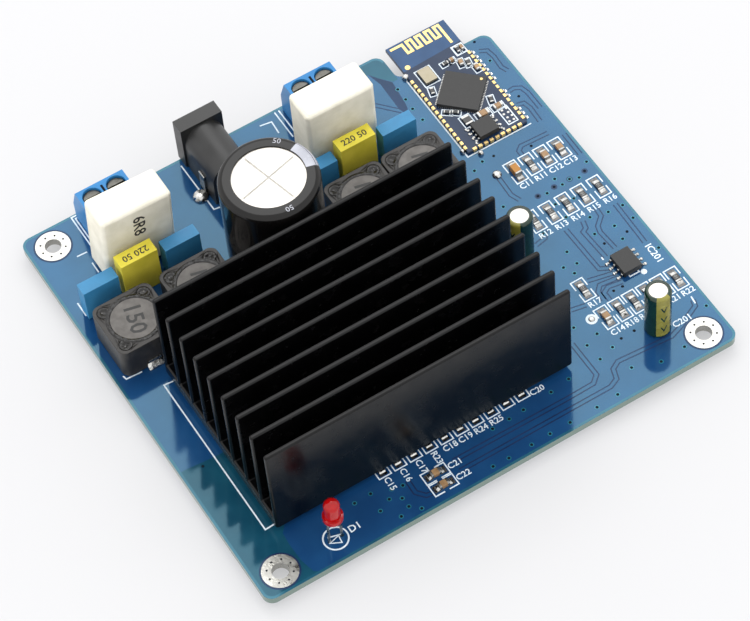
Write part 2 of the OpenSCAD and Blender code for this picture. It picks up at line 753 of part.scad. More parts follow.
side_blade_h = 5;
module jack_contacts() color("silver") placed() {
    blade(jack_blades[1], leaf_z + leaf_t);
    box([jack_x - blade_w / 2, leaf_y, leaf_z], [blade_w, leaf_l - 2 * wire_clear, leaf_t]);
    blade(jack_blades[2], side_blade_h);
}

// Wireless module
contact_pitch = 1.27;
contact_w = 0.8;
contact_t = 0.12;
side_contacts = 16;
front_contacts = 9;
module module_board() color("midnightblue") placed() {
    box([module_x - module_w / 2, module_front, 0], [module_w, module_l, module_t]);
}

module module_contacts() color("goldenrod") placed() {
    for (side = [-1, 1], i = [0:side_contacts - 1]) {
        block(module_x + side * (module_w + contact_t) / 2, module_front + (i + 1) * contact_pitch, 0,
            [contact_t, contact_w, module_t]);
    }
    for (i = [0:front_contacts - 1]) {
        block(module_x + (i - (front_contacts - 1) / 2) * contact_pitch, module_front - contact_t / 2, 0,
            [contact_w, contact_t, module_t]);
    }
}

module module_radio_chip() color("black") placed() translate([module_x, radio_y, module_t]) rotate(45) {
    block(0, 0, 0, [radio_w, radio_w, radio_h]);
}

memory_w = 4.2;
memory_d = 3.8;
memory_h = 1.3;
memory_gap = 0.1;
memory_lead_pitch = 1;
memory_lead_w = 0.4;
memory_lead_reach = 0.95;
module module_memory_chip() color("black") placed() {
    block(memory_x, memory_y, module_t + memory_gap, [memory_w, memory_d, memory_h - memory_gap]);
}

module module_memory_leads() color("silver") placed() translate([memory_x, memory_y, module_t]) {
    for (turn = [90, 270], i = [0:3]) rotate(turn) {
        translate([(i - 1.5) * memory_lead_pitch, memory_w / 2, 0]) {
            gull_lead(memory_lead_reach, memory_h / 2, lead_sheet_t, memory_lead_w);
        }
    }
}

crystal_size = [2.6, 3.6, 0.7];
module module_crystal() color("silver") placed() block(crystal_x, crystal_y, module_t, crystal_size);

// Operational amplifier
op_w = 3.9;
op_d = 4.9;
op_h = 1.5;
op_gap = 0.15;
op_lead_pitch = 1.27;
op_lead_w = 0.42;
op_lead_reach = 1.05;
module operational_amplifier_body() color("black") placed() {
    block(op_amp_x, op_amp_y, op_gap, [op_w, op_d, op_h - op_gap]);
}

module operational_amplifier_leads() color("silver") placed() translate([op_amp_x, op_amp_y, 0]) {
    for (turn = [90, 270], i = [0:3]) rotate(turn) {
        translate([(i - 1.5) * op_lead_pitch, op_w / 2, 0]) {
            gull_lead(op_lead_reach, op_h / 2, lead_sheet_t, op_lead_w);
        }
    }
}

// Indicator lamp
flange_t = 1;
flange_over = 0.4;
flange_r = led_d / 2 + flange_over;
module indicator_lens() color("red") placed() translate([led_x, led_y, led_standoff]) difference() {
    union() {
        cylinder(r = flange_r, h = flange_t);
        cylinder(d = led_d, h = led_h - led_d / 2);
        translate([0, 0, led_h - led_d / 2]) sphere(d = led_d);
    }
    lead_sockets(0, 0, lamp_pitch, lamp_r, 0);
}

// Chip parts: a body between two metal ends
end_l = 0.4;
resistor_h = 0.5;
ceramic_h = 0.9;
tantalum_w = 1.4;
tantalum_l = 2.7;
tantalum_h = 1.4;
function chip_size(kind) =
    kind == "R" ? [chip_w, chip_l, resistor_h] :
    kind == "C" ? [chip_w, chip_l, ceramic_h] : [tantalum_w, tantalum_l, tantalum_h];

module chip_body(size) block(0, 0, 0, [size[0], size[1] - 2 * end_l, size[2]]);

module chip_ends(size) for (side = [-1, 1]) {
    block(0, side * (size[1] - end_l) / 2, 0, [size[0], end_l, size[2]]);
}

module at_chips(kinds) placed() {
    for (row = chip_rows, i = [0:len(row[3]) - 1]) if (len(search(row[3][i], kinds)) > 0) {
        $size = chip_size(row[3][i]);
        translate([row[0] + i * row[1], row[2], 0]) children();
    }
    if (len(search("C", kinds)) > 0) for (y = pair_ys) {
        $size = chip_size("C");
        translate([pair_x, y, 0]) rotate(90) children();
    }
}

module chip_resistors() color("black") at_chips("R") chip_body($size);

module chip_capacitors() color("tan") at_chips("CT") chip_body($size);

module chip_terminations() color("silver") at_chips("RCT") chip_ends($size);

board();
mounting_pads();
solder_joints();
heatsink();
heatsink_screws();
thermal_pad();
amplifier_chip_body();
amplifier_chip_leads();
for (i = [1:4]) {
    inductor_shield(i);
    inductor_core(i);
    blue_film_capacitor(i);
    terminal_screw(i);
    terminal_clamp(i);
}
for (i = [1:2]) {
    cement_resistor(i);
    yellow_film_capacitor(i);
    terminal_housing(i);
}
inductor_windings();
inductor_clips();
inductor_resin();
main_capacitor_can();
main_capacitor_sleeve();
main_capacitor_bung();
component_leads();
terminal_contacts();
jack_housing();
jack_centre_pin();
jack_contacts();
module_board();
module_contacts();
module_radio_chip();
module_memory_chip();
module_memory_leads();
module_crystal();
operational_amplifier_body();
operational_amplifier_leads();
small_capacitor_cans();
small_capacitor_sleeves();
indicator_lens();
chip_resistors();
chip_capacitors();
chip_terminations();
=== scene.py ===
# %% [markdown]
# # An audio amplifier board in the studio
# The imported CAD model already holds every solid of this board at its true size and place: the
# laminate, the finned heatsink, the coils, capacitors, connectors and chips. This lesson gives
# each solid the finish of its real material. It then adds what is too thin or too fine for CAD:
# printed lines, tracks, solder, markings, and the small parts on the radio module.

# %% Load the solids
import json
import math

import bmesh
import bpy
from mathutils import Matrix, Vector

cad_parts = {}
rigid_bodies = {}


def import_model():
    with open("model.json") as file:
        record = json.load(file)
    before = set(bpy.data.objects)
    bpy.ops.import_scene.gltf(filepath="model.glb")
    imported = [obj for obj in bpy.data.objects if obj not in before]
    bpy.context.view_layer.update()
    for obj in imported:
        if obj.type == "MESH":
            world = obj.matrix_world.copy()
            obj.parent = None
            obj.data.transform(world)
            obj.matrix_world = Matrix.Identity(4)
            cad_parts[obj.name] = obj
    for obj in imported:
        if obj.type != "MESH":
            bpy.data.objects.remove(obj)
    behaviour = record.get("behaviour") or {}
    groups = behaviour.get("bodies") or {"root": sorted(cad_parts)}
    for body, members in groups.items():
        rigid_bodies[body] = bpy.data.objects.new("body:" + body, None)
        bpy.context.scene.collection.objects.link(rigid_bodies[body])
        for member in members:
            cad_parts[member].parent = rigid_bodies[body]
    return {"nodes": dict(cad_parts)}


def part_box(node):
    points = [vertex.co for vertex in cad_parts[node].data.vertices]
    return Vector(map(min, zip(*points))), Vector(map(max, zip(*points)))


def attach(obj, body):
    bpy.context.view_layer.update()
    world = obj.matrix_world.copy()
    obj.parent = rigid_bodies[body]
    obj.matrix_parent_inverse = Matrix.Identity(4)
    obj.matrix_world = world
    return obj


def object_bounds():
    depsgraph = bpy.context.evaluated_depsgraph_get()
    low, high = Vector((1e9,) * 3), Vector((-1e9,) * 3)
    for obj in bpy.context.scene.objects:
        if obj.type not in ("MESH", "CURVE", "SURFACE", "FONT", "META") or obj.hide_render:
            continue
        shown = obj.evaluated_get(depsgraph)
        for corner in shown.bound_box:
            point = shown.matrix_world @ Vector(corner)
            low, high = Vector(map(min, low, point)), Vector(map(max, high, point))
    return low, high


for leftover in list(bpy.data.objects):
    bpy.data.objects.remove(leftover)
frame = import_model()
cad_box = [list(corner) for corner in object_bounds()]
nodes = frame["nodes"]
scene = bpy.context.scene
MM = 0.001
BODY = "board_assembly"
print(len(nodes), "solids; box in mm:", [[round(c / MM, 1) for c in corner] for corner in cad_box])

# %% [markdown]
# ## Camera
# The photograph looks down on the board from its front left corner through a long lens, so
# parallel edges hardly converge. A camera can be placed by eye, but the corners of the board, of
# the heatsink and of the tall parts fix it exactly, so these numbers come from that fit.

# %% Set up the camera
camera = bpy.data.objects.new("camera", bpy.data.cameras.new("camera"))
camera.location = (-0.15714, -0.31624, 0.51640)
camera.rotation_euler = [math.radians(angle) for angle in (34.0035, 3.4812, -31.5734)]
camera.data.sensor_fit = "HORIZONTAL"
camera.data.sensor_width = 36
camera.data.lens = 161.354
camera.data.clip_start = 0.01
scene.collection.objects.link(camera)
scene.camera = camera
print("camera at", [round(c, 3) for c in camera.location])

# %% [markdown]
# ## Nodes
# Every finish below is a small tree of shader nodes. One function adds a node, sets its settings
# and fills its inputs with values or links. Colours are written as the hex codes that a paint
# chart gives, and one function turns them into the linear values that the renderer needs. A Mix
# node has sockets for each kind of value, so its colour sockets are picked by number.

# %% Helpers for node trees
MIX_A, MIX_B, MIXED = 6, 7, 2


def linear(code):
    """The linear colour of an sRGB hex code such as #1B4F7C."""
    shares = [int(code[i : i + 2], 16) / 255 for i in (1, 3, 5)]
    return [s / 12.92 if s <= 0.04045 else ((s + 0.055) / 1.055) ** 2.4 for s in shares] + [1.0]


def add(tree, kind, inputs, **settings):
    """Adds a node to a tree, with its settings, and with values or links for its inputs."""
    node = tree.nodes.new("ShaderNode" + kind)
    for name, value in settings.items():
        setattr(node, name, value)
    for key, value in inputs.items():
        if isinstance(value, bpy.types.NodeSocket):
            tree.links.new(value, node.inputs[key])
        else:
            node.inputs[key].default_value = value
    return node


def paint(name, **sockets):
    """A plain material with values for the sockets of its shader, where _ stands for a space."""
    material = bpy.data.materials.new(name)
    material.use_nodes = True
    shader = material.node_tree.nodes["Principled BSDF"]
    for label, value in sockets.items():
        shader.inputs[label.replace("_", " ")].default_value = value
    return material


print("mask blue in linear light:", [round(c, 3) for c in linear("#184573")])

# %% [markdown]
# ## Studio
# The photograph is high key: a white sweep below, a wide soft light above and behind, which the
# glossy board mirrors, and hardly any shadow. A light tent over a lit table gives this look. Here
# the world is the tent, equally bright on all sides, and one softbox hangs where the board mirrors
# it. The floor is white acrylic that glows a little from below.

# %% Light the studio
scene.view_settings.view_transform = "Standard"
world = bpy.data.worlds.new("light_tent")
scene.world = world
world.use_nodes = True
tent = world.node_tree.nodes["Background"]
tent.inputs["Color"].default_value = linear("#FFFFFF")
tent.inputs["Strength"].default_value = 1.55

softbox = bpy.data.objects.new("softbox", bpy.data.lights.new("softbox", "AREA"))
softbox.data.shape = "RECTANGLE"
softbox.data.size = 0.6
softbox.data.size_y = 0.45
softbox.data.energy = 2.0
softbox.location = (0.25, 0.47, 0.8)
softbox.rotation_euler.x = -math.atan2(softbox.location.y, softbox.location.z)
scene.collection.objects.link(softbox)
print("softbox", softbox.data.size, "m wide")

# %% Lay the lit floor
FLOOR_HALF = 3.0
acrylic = paint(
    "lit white acrylic",
    Base_Color=linear("#9A9A9C"),
    Emission_Color=linear("#FFFFFF"),
    Emission_Strength=0.425,
    Roughness=0.9,
    Specular_IOR_Level=0.1,
)
sweep = bmesh.new()
bmesh.ops.create_grid(sweep, x_segments=4, y_segments=4, size=FLOOR_HALF)
floor_mesh = bpy.data.meshes.new("floor")
sweep.to_mesh(floor_mesh)
sweep.free()
floor_mesh.transform(Matrix.Translation((0, 0, cad_box[0][2])))
floor_mesh.materials.append(acrylic)
floor = bpy.data.objects.new("floor", floor_mesh)
scene.collection.objects.link(floor)
print("floor at", cad_box[0][2])

# %% [markdown]
# ## A finish
# No real surface is one flat colour: its shade drifts, its gloss is uneven, and a fine grit breaks
# up reflections. One function builds these three from noise in Object coordinates, with sizes
# in millimetres. Each material then starts from what it is: its colours, gloss and grit.

# %% The functions behind the finishes
GLOSSIEST = 0.02


def finish(name, shades, patch, grit, depth, uneven=0.05, **sockets):
    """A material whose colour drifts between two shades over patches of that size, whose
    roughness varies by uneven, and whose grit has a size and depth. All sizes are in mm."""
    material = paint(name, **sockets)
    tree = material.node_tree
    shader = tree.nodes["Principled BSDF"]
    place = add(tree, "TexCoord", {}).outputs["Object"]
    cloud = add(tree, "TexNoise", {"Vector": place, "Scale": 1 / (patch * MM), "Detail": 3.0})
    contrast = {"From Min": 0.35, "From Max": 0.65}
    drift = add(tree, "MapRange", {"Value": cloud.outputs["Fac"], **contrast})
    first, last = [linear(shade) for shade in shades]
    ends = {"Factor": drift.outputs["Result"], MIX_A: first, MIX_B: last}
    tone = add(tree, "Mix", ends, data_type="RGBA")
    tree.links.new(tone.outputs[MIXED], shader.inputs["Base Color"])
    rough = sockets["Roughness"]
    span = {"To Min": max(rough - uneven, GLOSSIEST), "To Max": rough + uneven}
    gloss = add(tree, "MapRange", {"Value": drift.outputs["Result"], **span})
    tree.links.new(gloss.outputs["Result"], shader.inputs["Roughness"])
    grains = add(tree, "TexNoise", {"Vector": place, "Scale": 1 / (grit * MM), "Detail": 2.0})
    relief = add(tree, "Bump", {"Height": grains.outputs["Fac"], "Distance": depth * MM})
    tree.links.new(relief.outputs["Normal"], shader.inputs["Normal"])
    return material


def tint(material, share, colour):
    """Mixes a colour over a finish by a socket of its own tree, from 0 for none to 1 for all."""
    tree = material.node_tree
    base = tree.nodes["Principled BSDF"].inputs["Base Color"]
    ends = {"Factor": share, MIX_A: base.links[0].from_socket, MIX_B: linear(colour)}
    tone = add(tree, "Mix", ends, data_type="RGBA")
    tree.links.new(tone.outputs[MIXED], base)


def dress(material, edge, *names):
    """Gives CAD solids a finish. Where edge isn't 0, their sharp edges are rounded by that many
    mm, because a real edge always catches a line of light."""
    for name in names:
        solid = nodes[name]
        solid.material_slots[0].material = material
        if edge:
            solid.modifiers.new("join", "WELD").merge_threshold = 1e-6
            rounded = solid.modifiers.new("edges", "BEVEL")
            rounded.width = edge * MM
            rounded.segments = 3
            rounded.limit_method = "ANGLE"
            rounded.angle_limit = math.radians(35)
            solid.modifiers.new("shading", "WEIGHTED_NORMAL").weight = 80
    print(material.name, "on", len(names), "solids")


def four(stem):
    """The names of four solids that are numbered from 1."""
    return [f"{stem}_{i}" for i in (1, 2, 3, 4)]


# %% [markdown]
# ## Printed board
# A board is glass cloth in epoxy, faced with copper, then coated with blue solder mask. The mask is
# a thin glossy lacquer that mirrors the parts standing on it, and what it mirrors takes on some of
# its blue. The cut edges show the bare laminate, a dull grey green. The object's own height
# tells edge from face.

# %% Solder mask with laminate at the cut edges
board_low, board_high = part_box("board")
SKIN = 0.02 * MM
LACQUER = {
    "Roughness": 0.09,
    "IOR": 1.52,
    "Specular_IOR_Level": 0.6,
    "Specular_Tint": linear("#B8EFFF"),
}
mask = finish("blue solder mask", ("#123A67", "#184573"), 9, 1.8, 0.004, 0.02, **LACQUER)
tree = mask.node_tree
place = add(tree, "TexCoord", {}).outputs["Object"]
height = add(tree, "SeparateXYZ", {"Vector": place}).outputs["Z"]
core = add(tree, "Math", {0: height, 1: (board_low.z + board_high.z) / 2}, operation="SUBTRACT")
half_core = (board_high.z - board_low.z) / 2 - SKIN
off_core = add(tree, "Math", {0: core.outputs[0]}, operation="ABSOLUTE")
is_edge = add(tree, "Math", {0: off_core.outputs[0], 1: half_core}, operation="LESS_THAN")
tint(mask, is_edge.outputs[0], "#6E7C72")
dress(mask, 0, "board")

# %% [markdown]
# A board this thin is never quite flat. The heatsink stiffens its middle, and beside it the free
# left edge curls up by a fifth of a millimetre, which the long mirror images of the fins give
# away. The curl is too slight to model, so a second bump tilts the finish there.

# %% Curl the left edge
CURL_FROM = 10.0
CURL = 0.0036


def curl(material):
    """Tilts a finish by CURL for each millimetre that a point lies left of CURL_FROM."""
    tree = material.node_tree
    shader = tree.nodes["Principled BSDF"]
    flat = shader.inputs["Normal"].links[0].from_socket
    place = add(tree, "TexCoord", {}).outputs["Object"]
    across = add(tree, "SeparateXYZ", {"Vector": place}).outputs["X"]
    start = board_low.x + CURL_FROM * MM
    reach = {"From Min": start, "From Max": board_low.x, "To Max": CURL_FROM}
    past = add(tree, "MapRange", {"Value": across, **reach})
    rise = add(tree, "Math", {0: past.outputs["Result"], 1: 2.0}, operation="POWER")
    bent = add(tree, "Bump", {"Height": rise.outputs[0], "Distance": CURL / 2 * MM, "Normal": flat})
    tree.links.new(bent.outputs["Normal"], shader.inputs["Normal"])


curl(mask)
print("left edge up by", round(CURL / 2 * CURL_FROM**2, 2), "mm")

# %% [markdown]
# Everything on the board is placed in layout millimetres, as on a board maker's drawing: x and y
# from the front left corner, z up from the top face. The small shapes that repeat, such as
# printed lines and via pads, come from a few helpers around bmesh operators.

# %% Helpers for flat shapes
def at(x, y, z=0.0):
    """A point in metres from layout millimetres."""
    return Vector((board_low.x + x * MM, board_low.y + y * MM, board_high.z + z * MM))


def polar(reach, angle):
    """A step on the board, by its length and its angle in degrees from the x axis."""
    turn = math.radians(angle)
    return Vector((reach * math.cos(turn), reach * math.sin(turn)))


def turned(centre, angle):
    """The matrix of a turn in degrees about the upright, then a move to a centre in metres."""
    return Matrix.Translation(centre) @ Matrix.Rotation(math.radians(angle), 4, "Z")


def bar(shape, centre, size, turn=0.0):
    """A block about a centre in metres, its size in mm, turned in degrees about the upright."""
    place = turned(centre, turn) @ Matrix.Diagonal([s * MM for s in size]).to_4x4()
    return bmesh.ops.create_cube(shape, size=1.0, matrix=place)["verts"]


def soften(shape, width):
    """Cuts a narrow flat along every edge of a shape."""
    flat = {"affect": "EDGES", "segments": 1, "profile": 0.5, "material": -1}
    bmesh.ops.bevel(shape, geom=shape.edges[:], offset=width * MM, **flat)


def thicken(shape, faces, rise):
    """Makes flat faces a closed plate that is rise mm thick."""
    lifted = bmesh.ops.extrude_face_region(shape, geom=list(faces), use_keep_orig=True)["geom"]
    tops = [part for part in lifted if isinstance(part, bmesh.types.BMVert)]
    bmesh.ops.translate(shape, verts=tops, vec=(0, 0, rise * MM))


def beside(points, shift):
    """The line beside a line, shifted to its left by that much, with mitred corners."""
    points = [Vector(p) for p in points]
    sides = [(b - a).normalized().orthogonal() for a, b in zip(points, points[1:])]
    loop = points[0] == points[-1]
    sides = [sides[-1 if loop else 0]] + sides + [sides[0 if loop else -1]]
    moved = []
    for point, before, after in zip(points, sides, sides[1:]):
        middle = (before + after).normalized()
        moved.append(point + middle * shift / max(middle.dot(after), 0.5))
    return moved


def stroke(shape, points, width, low, high):
    """A thin line through layout points, with its foot and top at these heights. A grid one cell
    wide is bent along the line, so that its corners are mitred and nothing overlaps."""
    rails = beside(points, -width / 2) + beside(points, width / 2)
    grid = bmesh.ops.create_grid(shape, x_segments=len(points) - 1, y_segments=1, size=1.0)["verts"]
    for vert, spot in zip(sorted(grid, key=lambda v: (round(v.co.y), v.co.x)), rails):
        vert.co = at(spot.x, spot.y, low)
    thicken(shape, {face for vert in grid for face in vert.link_faces}, high - low)


def patch(shape, outline, low, high):
    """A flat plate with an outline in layout points, from one height to another."""
    face = shape.faces.new([shape.verts.new(at(x, y, low)) for x, y in outline])
    thicken(shape, [face], high - low)


def disc(shape, x, y, radius, low, high, sides=12):
    """A flat round at a layout point, from one height to another."""
    where = Matrix.Translation(at(x, y, (low + high) / 2))
    size = {"radius1": radius * MM, "radius2": radius * MM, "depth": (high - low) * MM}
    bmesh.ops.create_cone(shape, cap_ends=True, segments=sides, matrix=where, **size)


# %% Helpers for turned shapes, letters and finished pieces
TOUCHING = 1e-7
CAPITALS = 0.7
BOLD = 0.02


def ring(inner, outer, low, high):
    """The closed profile of a flat ring, for the lathe."""
    return ((inner, low), (outer, low), (outer, high), (inner, high), (inner, low))


def lathe(shape, profile, centre, sweep=360, start=0, steps=48):
    """Spins a profile of (radius, height) pairs in mm about an upright axis through centre, and
    closes the two ends of a part turn."""
    before = set(shape.verts)
    first = Matrix.Rotation(math.radians(start), 3, "Z")
    line = [shape.verts.new(centre + first @ Vector((r * MM, 0, z * MM))) for r, z in profile]
    edges = [shape.edges.new(pair) for pair in zip(line, line[1:])]
    bmesh.ops.spin(
        shape,
        geom=line + edges,
        cent=centre,
        axis=(0, 0, 1),
        angle=math.radians(sweep),
        steps=steps,
        use_merge=sweep == 360,
    )
    made = [v for v in shape.verts if v not in before]
    bmesh.ops.remove_doubles(shape, verts=made, dist=TOUCHING)
    bmesh.ops.holes_fill(shape, edges=[edge for edge in shape.edges if edge.is_boundary])


def letters(shape, words, height, place, thick=0.03, heavy=0.0):
    """Flat letters with capitals of that height in mm: a text made a mesh, then put in place.
    A heavy above 0 thickens the strokes by that share of the height. Returns the new vertices."""
    curve = bpy.data.curves.new("letters", "FONT")
    curve.body = words
    curve.size = height / CAPITALS * MM
    curve.align_x = "CENTER"
    curve.align_y = "CENTER"
    curve.offset = heavy * height * MM
    curve.extrude = thick * MM / 2
    curve.resolution_u = 2
    holder = bpy.data.objects.new("letters", curve)
    scene.collection.objects.link(holder)
    seen = holder.evaluated_get(bpy.context.evaluated_depsgraph_get())
    mesh = bpy.data.meshes.new_from_object(seen)
    mesh.transform(place)
    before = set(shape.verts)
    shape.from_mesh(mesh)
    made = [v for v in shape.verts if v not in before]
    bmesh.ops.remove_doubles(shape, verts=made, dist=TOUCHING)
    bpy.data.objects.remove(holder)
    bpy.data.curves.remove(curve)
    bpy.data.meshes.remove(mesh)
    return [v for v in shape.verts if v not in before]


def piece(name, shape, material, smooth=0):
    """Makes a bmesh an object that rides on the board, smooth below an angle in degrees."""
    bmesh.ops.recalc_face_normals(shape, faces=shape.faces)
    mesh = bpy.data.meshes.new(name)
    shape.to_mesh(mesh)
    shape.free()
    mesh.materials.append(material)
    if smooth:
        mesh.shade_smooth()
        mesh.set_sharp_from_angle(angle=math.radians(smooth))
    made = bpy.data.objects.new(name, mesh)
    scene.collection.objects.link(made)
    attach(made, BODY)
    print(name, len(mesh.polygons), "faces")


# %% [markdown]
# ## Tracks and bare laminate
# Nearly the whole top is one sheet of copper under the mask. A track is cut out of it by two thin
# gaps, where the mask lies on the laminate and looks a dull grey blue. At the corners and along
# the edges there is no copper on either side, so light passes through the glass and looks teal.

# %% Leave some areas free of copper
SUNK = -0.01
AREA_TOP = 0.004
GREY_TOP = 0.006
EDGE_TOP = 0.007
GAP_TOP = 0.010
BOARD_W = (board_high.x - board_low.x) / MM
BOARD_D = (board_high.y - board_low.y) / MM
BOARD_T = (board_high.z - board_low.z) / MM
THIN_LACQUER = {**LACQUER, "Specular_IOR_Level": 0.46}
clear_finish = finish(
    "mask over clear laminate", ("#0F3D52", "#16495D"), 7, 1.8, 0.004, 0.02, **THIN_LACQUER
)
DULL_LACQUER = {"Roughness": 0.2, "Specular_IOR_Level": 0.3, "Specular_Tint": linear("#C8EEFF")}
grey_finish = finish(
    "mask over bare laminate", ("#182648", "#223156"), 6, 1.8, 0.004, **DULL_LACQUER
)
MOUNTS = ((5.0, 4.25), (95.0, 4.25), (5.0, 88.25))
UNDER_PAD = 2.6
HALF_TURN = range(0, 181, 15)
FRONT_AREA = (
    (9.2, 4.25), (9.1, 7.8), (9.3, 10.6), (10.5, 12.0), (10.5, 31.0), (6.8, 31.1), (1.8, 31.6),
    (0.02, 31.6), (0.02, 4.25),
    *(Vector(MOUNTS[0]) + polar(UNDER_PAD, 180 - angle) for angle in HALF_TURN),
)
CORNER_AREA = (
    (0.02, 4.25), (0.02, 2.0), (0.3, 0.95), (0.95, 0.3), (2.0, 0.02), (11.4, 0.02), (9.9, 1.0),
    (9.4, 3.2), (9.2, 4.25),
    *(Vector(MOUNTS[0]) + polar(UNDER_PAD, -angle) for angle in HALF_TURN),
)
BACK_AREA = (
    (66.0, 92.48), (66.0, 86.4), (75.4, 89.6), (76.5, 87.9), (78.6, 85.4), (79.68, 85.4),
    (79.68, 90.5), (79.4, 91.6), (78.7, 92.2), (77.7, 92.48),
)
GREY_AREA = (
    (75.4, 89.6), (76.5, 87.9), (78.4, 85.4), (77.7, 79.2), (76.9, 76.4), (76.0, 79.1),
    (76.2, 86.2),
)
areas, greys = bmesh.new(), bmesh.new()
curl(clear_finish)
for outline in (FRONT_AREA, CORNER_AREA, BACK_AREA):
    patch(areas, outline, SUNK, AREA_TOP)
patch(greys, GREY_AREA, SUNK, GREY_TOP)
piece("clear_areas", areas, clear_finish)

# %% Cut the track gaps
GAP_W = 0.24
GAP_HALF = 0.42
TRACKS = (
    ((83, 54.6), (82.8, 50), (83.5, 48.1)),
    ((96.5, 58.3), (92.3, 58.5), (90.6, 58.6), (89.6, 57.8), (89.6, 56.6)),
    ((98.9, 56.4), (98.8, 50.7)),
    ((97.8, 37.3), (97.5, 27)),
    ((94.3, 38.8), (94.1, 36.5), (92.3, 34.9), (91.9, 33.5), (92.2, 29)),
    ((90.6, 37.4), (90.2, 35.8), (89.3, 35.3), (89.6, 28.2)),
    ((86.9, 37.5), (87.1, 26.7), (88.9, 25.7)),
    ((83.6, 39.7), (82.6, 38.1), (80.4, 37.7)),
    ((88.9, 24.4), (83.9, 25.6)),
    ((89.1, 23.1), (85.2, 23.6), (84.1, 22.5), (84, 20.4)),
    ((89, 21.9), (86.2, 22.4), (84.9, 21.7), (84.9, 19.8)),
    ((77.7, 21.9), (80.6, 21.3)),
    ((73.8, 15.6), (73.8, 7.6), (72.3, 6.3), (66.4, 6.2), (42.4, 6.5)),
    (
        (97.5, 11.3), (97.1, 10), (92.2, 7.7), (89.8, 6.9), (78.6, 7.8),
        (77, 6.9), (76.3, 4.8), (74.5, 4.0), (42.3, 4.1),
    ),
    ((33.4, 7.5), (33.3, 4.7), (34.6, 3.1), (36.3, 2.8)),
    ((96.3, 82.4), (97.7, 81.6), (98, 79.7), (97.8, 76.7), (98.3, 75.3)),
    ((95.8, 70.9), (97, 71), (98.2, 70.3), (98.6, 68.6), (98.6, 64.2)),
    ((95.3, 67.2), (96.6, 66.9), (97, 65.3), (96.8, 61.5)),
    ((72.6, 82.6), (76.2, 78.4)),
    ((70.6, 75.4), (73.4, 75.2)),
)
for track in TRACKS:
    for shift in (-GAP_HALF, GAP_HALF):
        stroke(greys, beside(track, shift), GAP_W, SUNK, GAP_TOP)
print(len(TRACKS), "tracks")

# %% [markdown]
# The underside is routed too. Wide gaps part its copper into the supply and the two outputs, and a
# few tracks cross it, so it doesn't look like blank plastic when the board is turned over.

# %% Route the underside
UNDER_LINES = (
    ((2, 56), (30, 56), (34, 60), (34, 90)),
    ((45, 90), (45, 60), (49, 56), (78, 56)),
    ((78, 56), (78, 12), (74, 8), (14, 8)),
    ((14, 8), (10, 12), (10, 52)),
    ((20, 90), (20, 84), (18, 82), (18, 62)),
    ((62, 90), (62, 84), (64, 82), (64, 62)),
    ((82, 58), (82, 40), (86, 36), (86, 12)),
    ((97, 58), (97, 30), (93, 26), (93, 14)),
    ((90, 58), (90, 44), (94, 40), (94, 30)),
)
WIDE_GAP = 0.6
NARROW_GAP = 0.25
UNDER_TRACK = 1.6
under_low, under_high = -BOARD_T - GAP_TOP, -BOARD_T - SUNK
for line in UNDER_LINES:
    stroke(greys, line, WIDE_GAP, under_low, under_high)
    stroke(greys, beside(line, UNDER_TRACK), NARROW_GAP, under_low, under_high)
print(len(UNDER_LINES), "lines below")

# %% Clear the copper round the mounts and four vias
HALO = ring(3.42, 3.75, SUNK, GAP_TOP)
CLEARED_VIAS = ((86.8, 46.9), (90.5, 47.0), (93.9, 46.9), (97.3, 46.9))
CLEARED_R = 0.62
CLEARED_TOP = 0.011
for x, y in MOUNTS:
    lathe(greys, HALO, at(x, y), steps=40)
for x, y in CLEARED_VIAS:
    disc(greys, x, y, CLEARED_R, SUNK, CLEARED_TOP, 16)
piece("track_gaps", greys, grey_finish)

# %% Leave the edges free of copper
EDGE_W = 0.5
CORNER_R = 2.0
ZONE_X = 79.7
CUT_D = 7.0
right_back = BOARD_D - CUT_D
margin_finish = finish(
    "mask at the cut edge", ("#1D5066", "#285D70"), 5, 1.8, 0.004, 0.02, **LACQUER
)
curl(margin_finish)
margins = bmesh.new()
mid = EDGE_W / 2
for ends in (
    ((CORNER_R, mid), (BOARD_W - CORNER_R, mid)),
    ((mid, CORNER_R), (mid, BOARD_D - CORNER_R)),
    ((BOARD_W - mid, CORNER_R), (BOARD_W - mid, right_back - CORNER_R)),
    ((CORNER_R, BOARD_D - mid), (ZONE_X - CORNER_R, BOARD_D - mid)),
    ((ZONE_X + CORNER_R, right_back - mid), (BOARD_W - CORNER_R, right_back - mid)),
):
    stroke(margins, ends, EDGE_W, SUNK, EDGE_TOP)
bend = ring(CORNER_R - EDGE_W, CORNER_R, SUNK, EDGE_TOP)
for x, y, start in (
    (CORNER_R, CORNER_R, 180),
    (BOARD_W - CORNER_R, CORNER_R, 270),
    (BOARD_W - CORNER_R, right_back - CORNER_R, 0),
    (ZONE_X - CORNER_R, BOARD_D - CORNER_R, 0),
    (CORNER_R, BOARD_D - CORNER_R, 90),
):
    lathe(margins, bend, at(x, y), sweep=90, start=start, steps=10)
piece("edge_margins", margins, margin_finish)
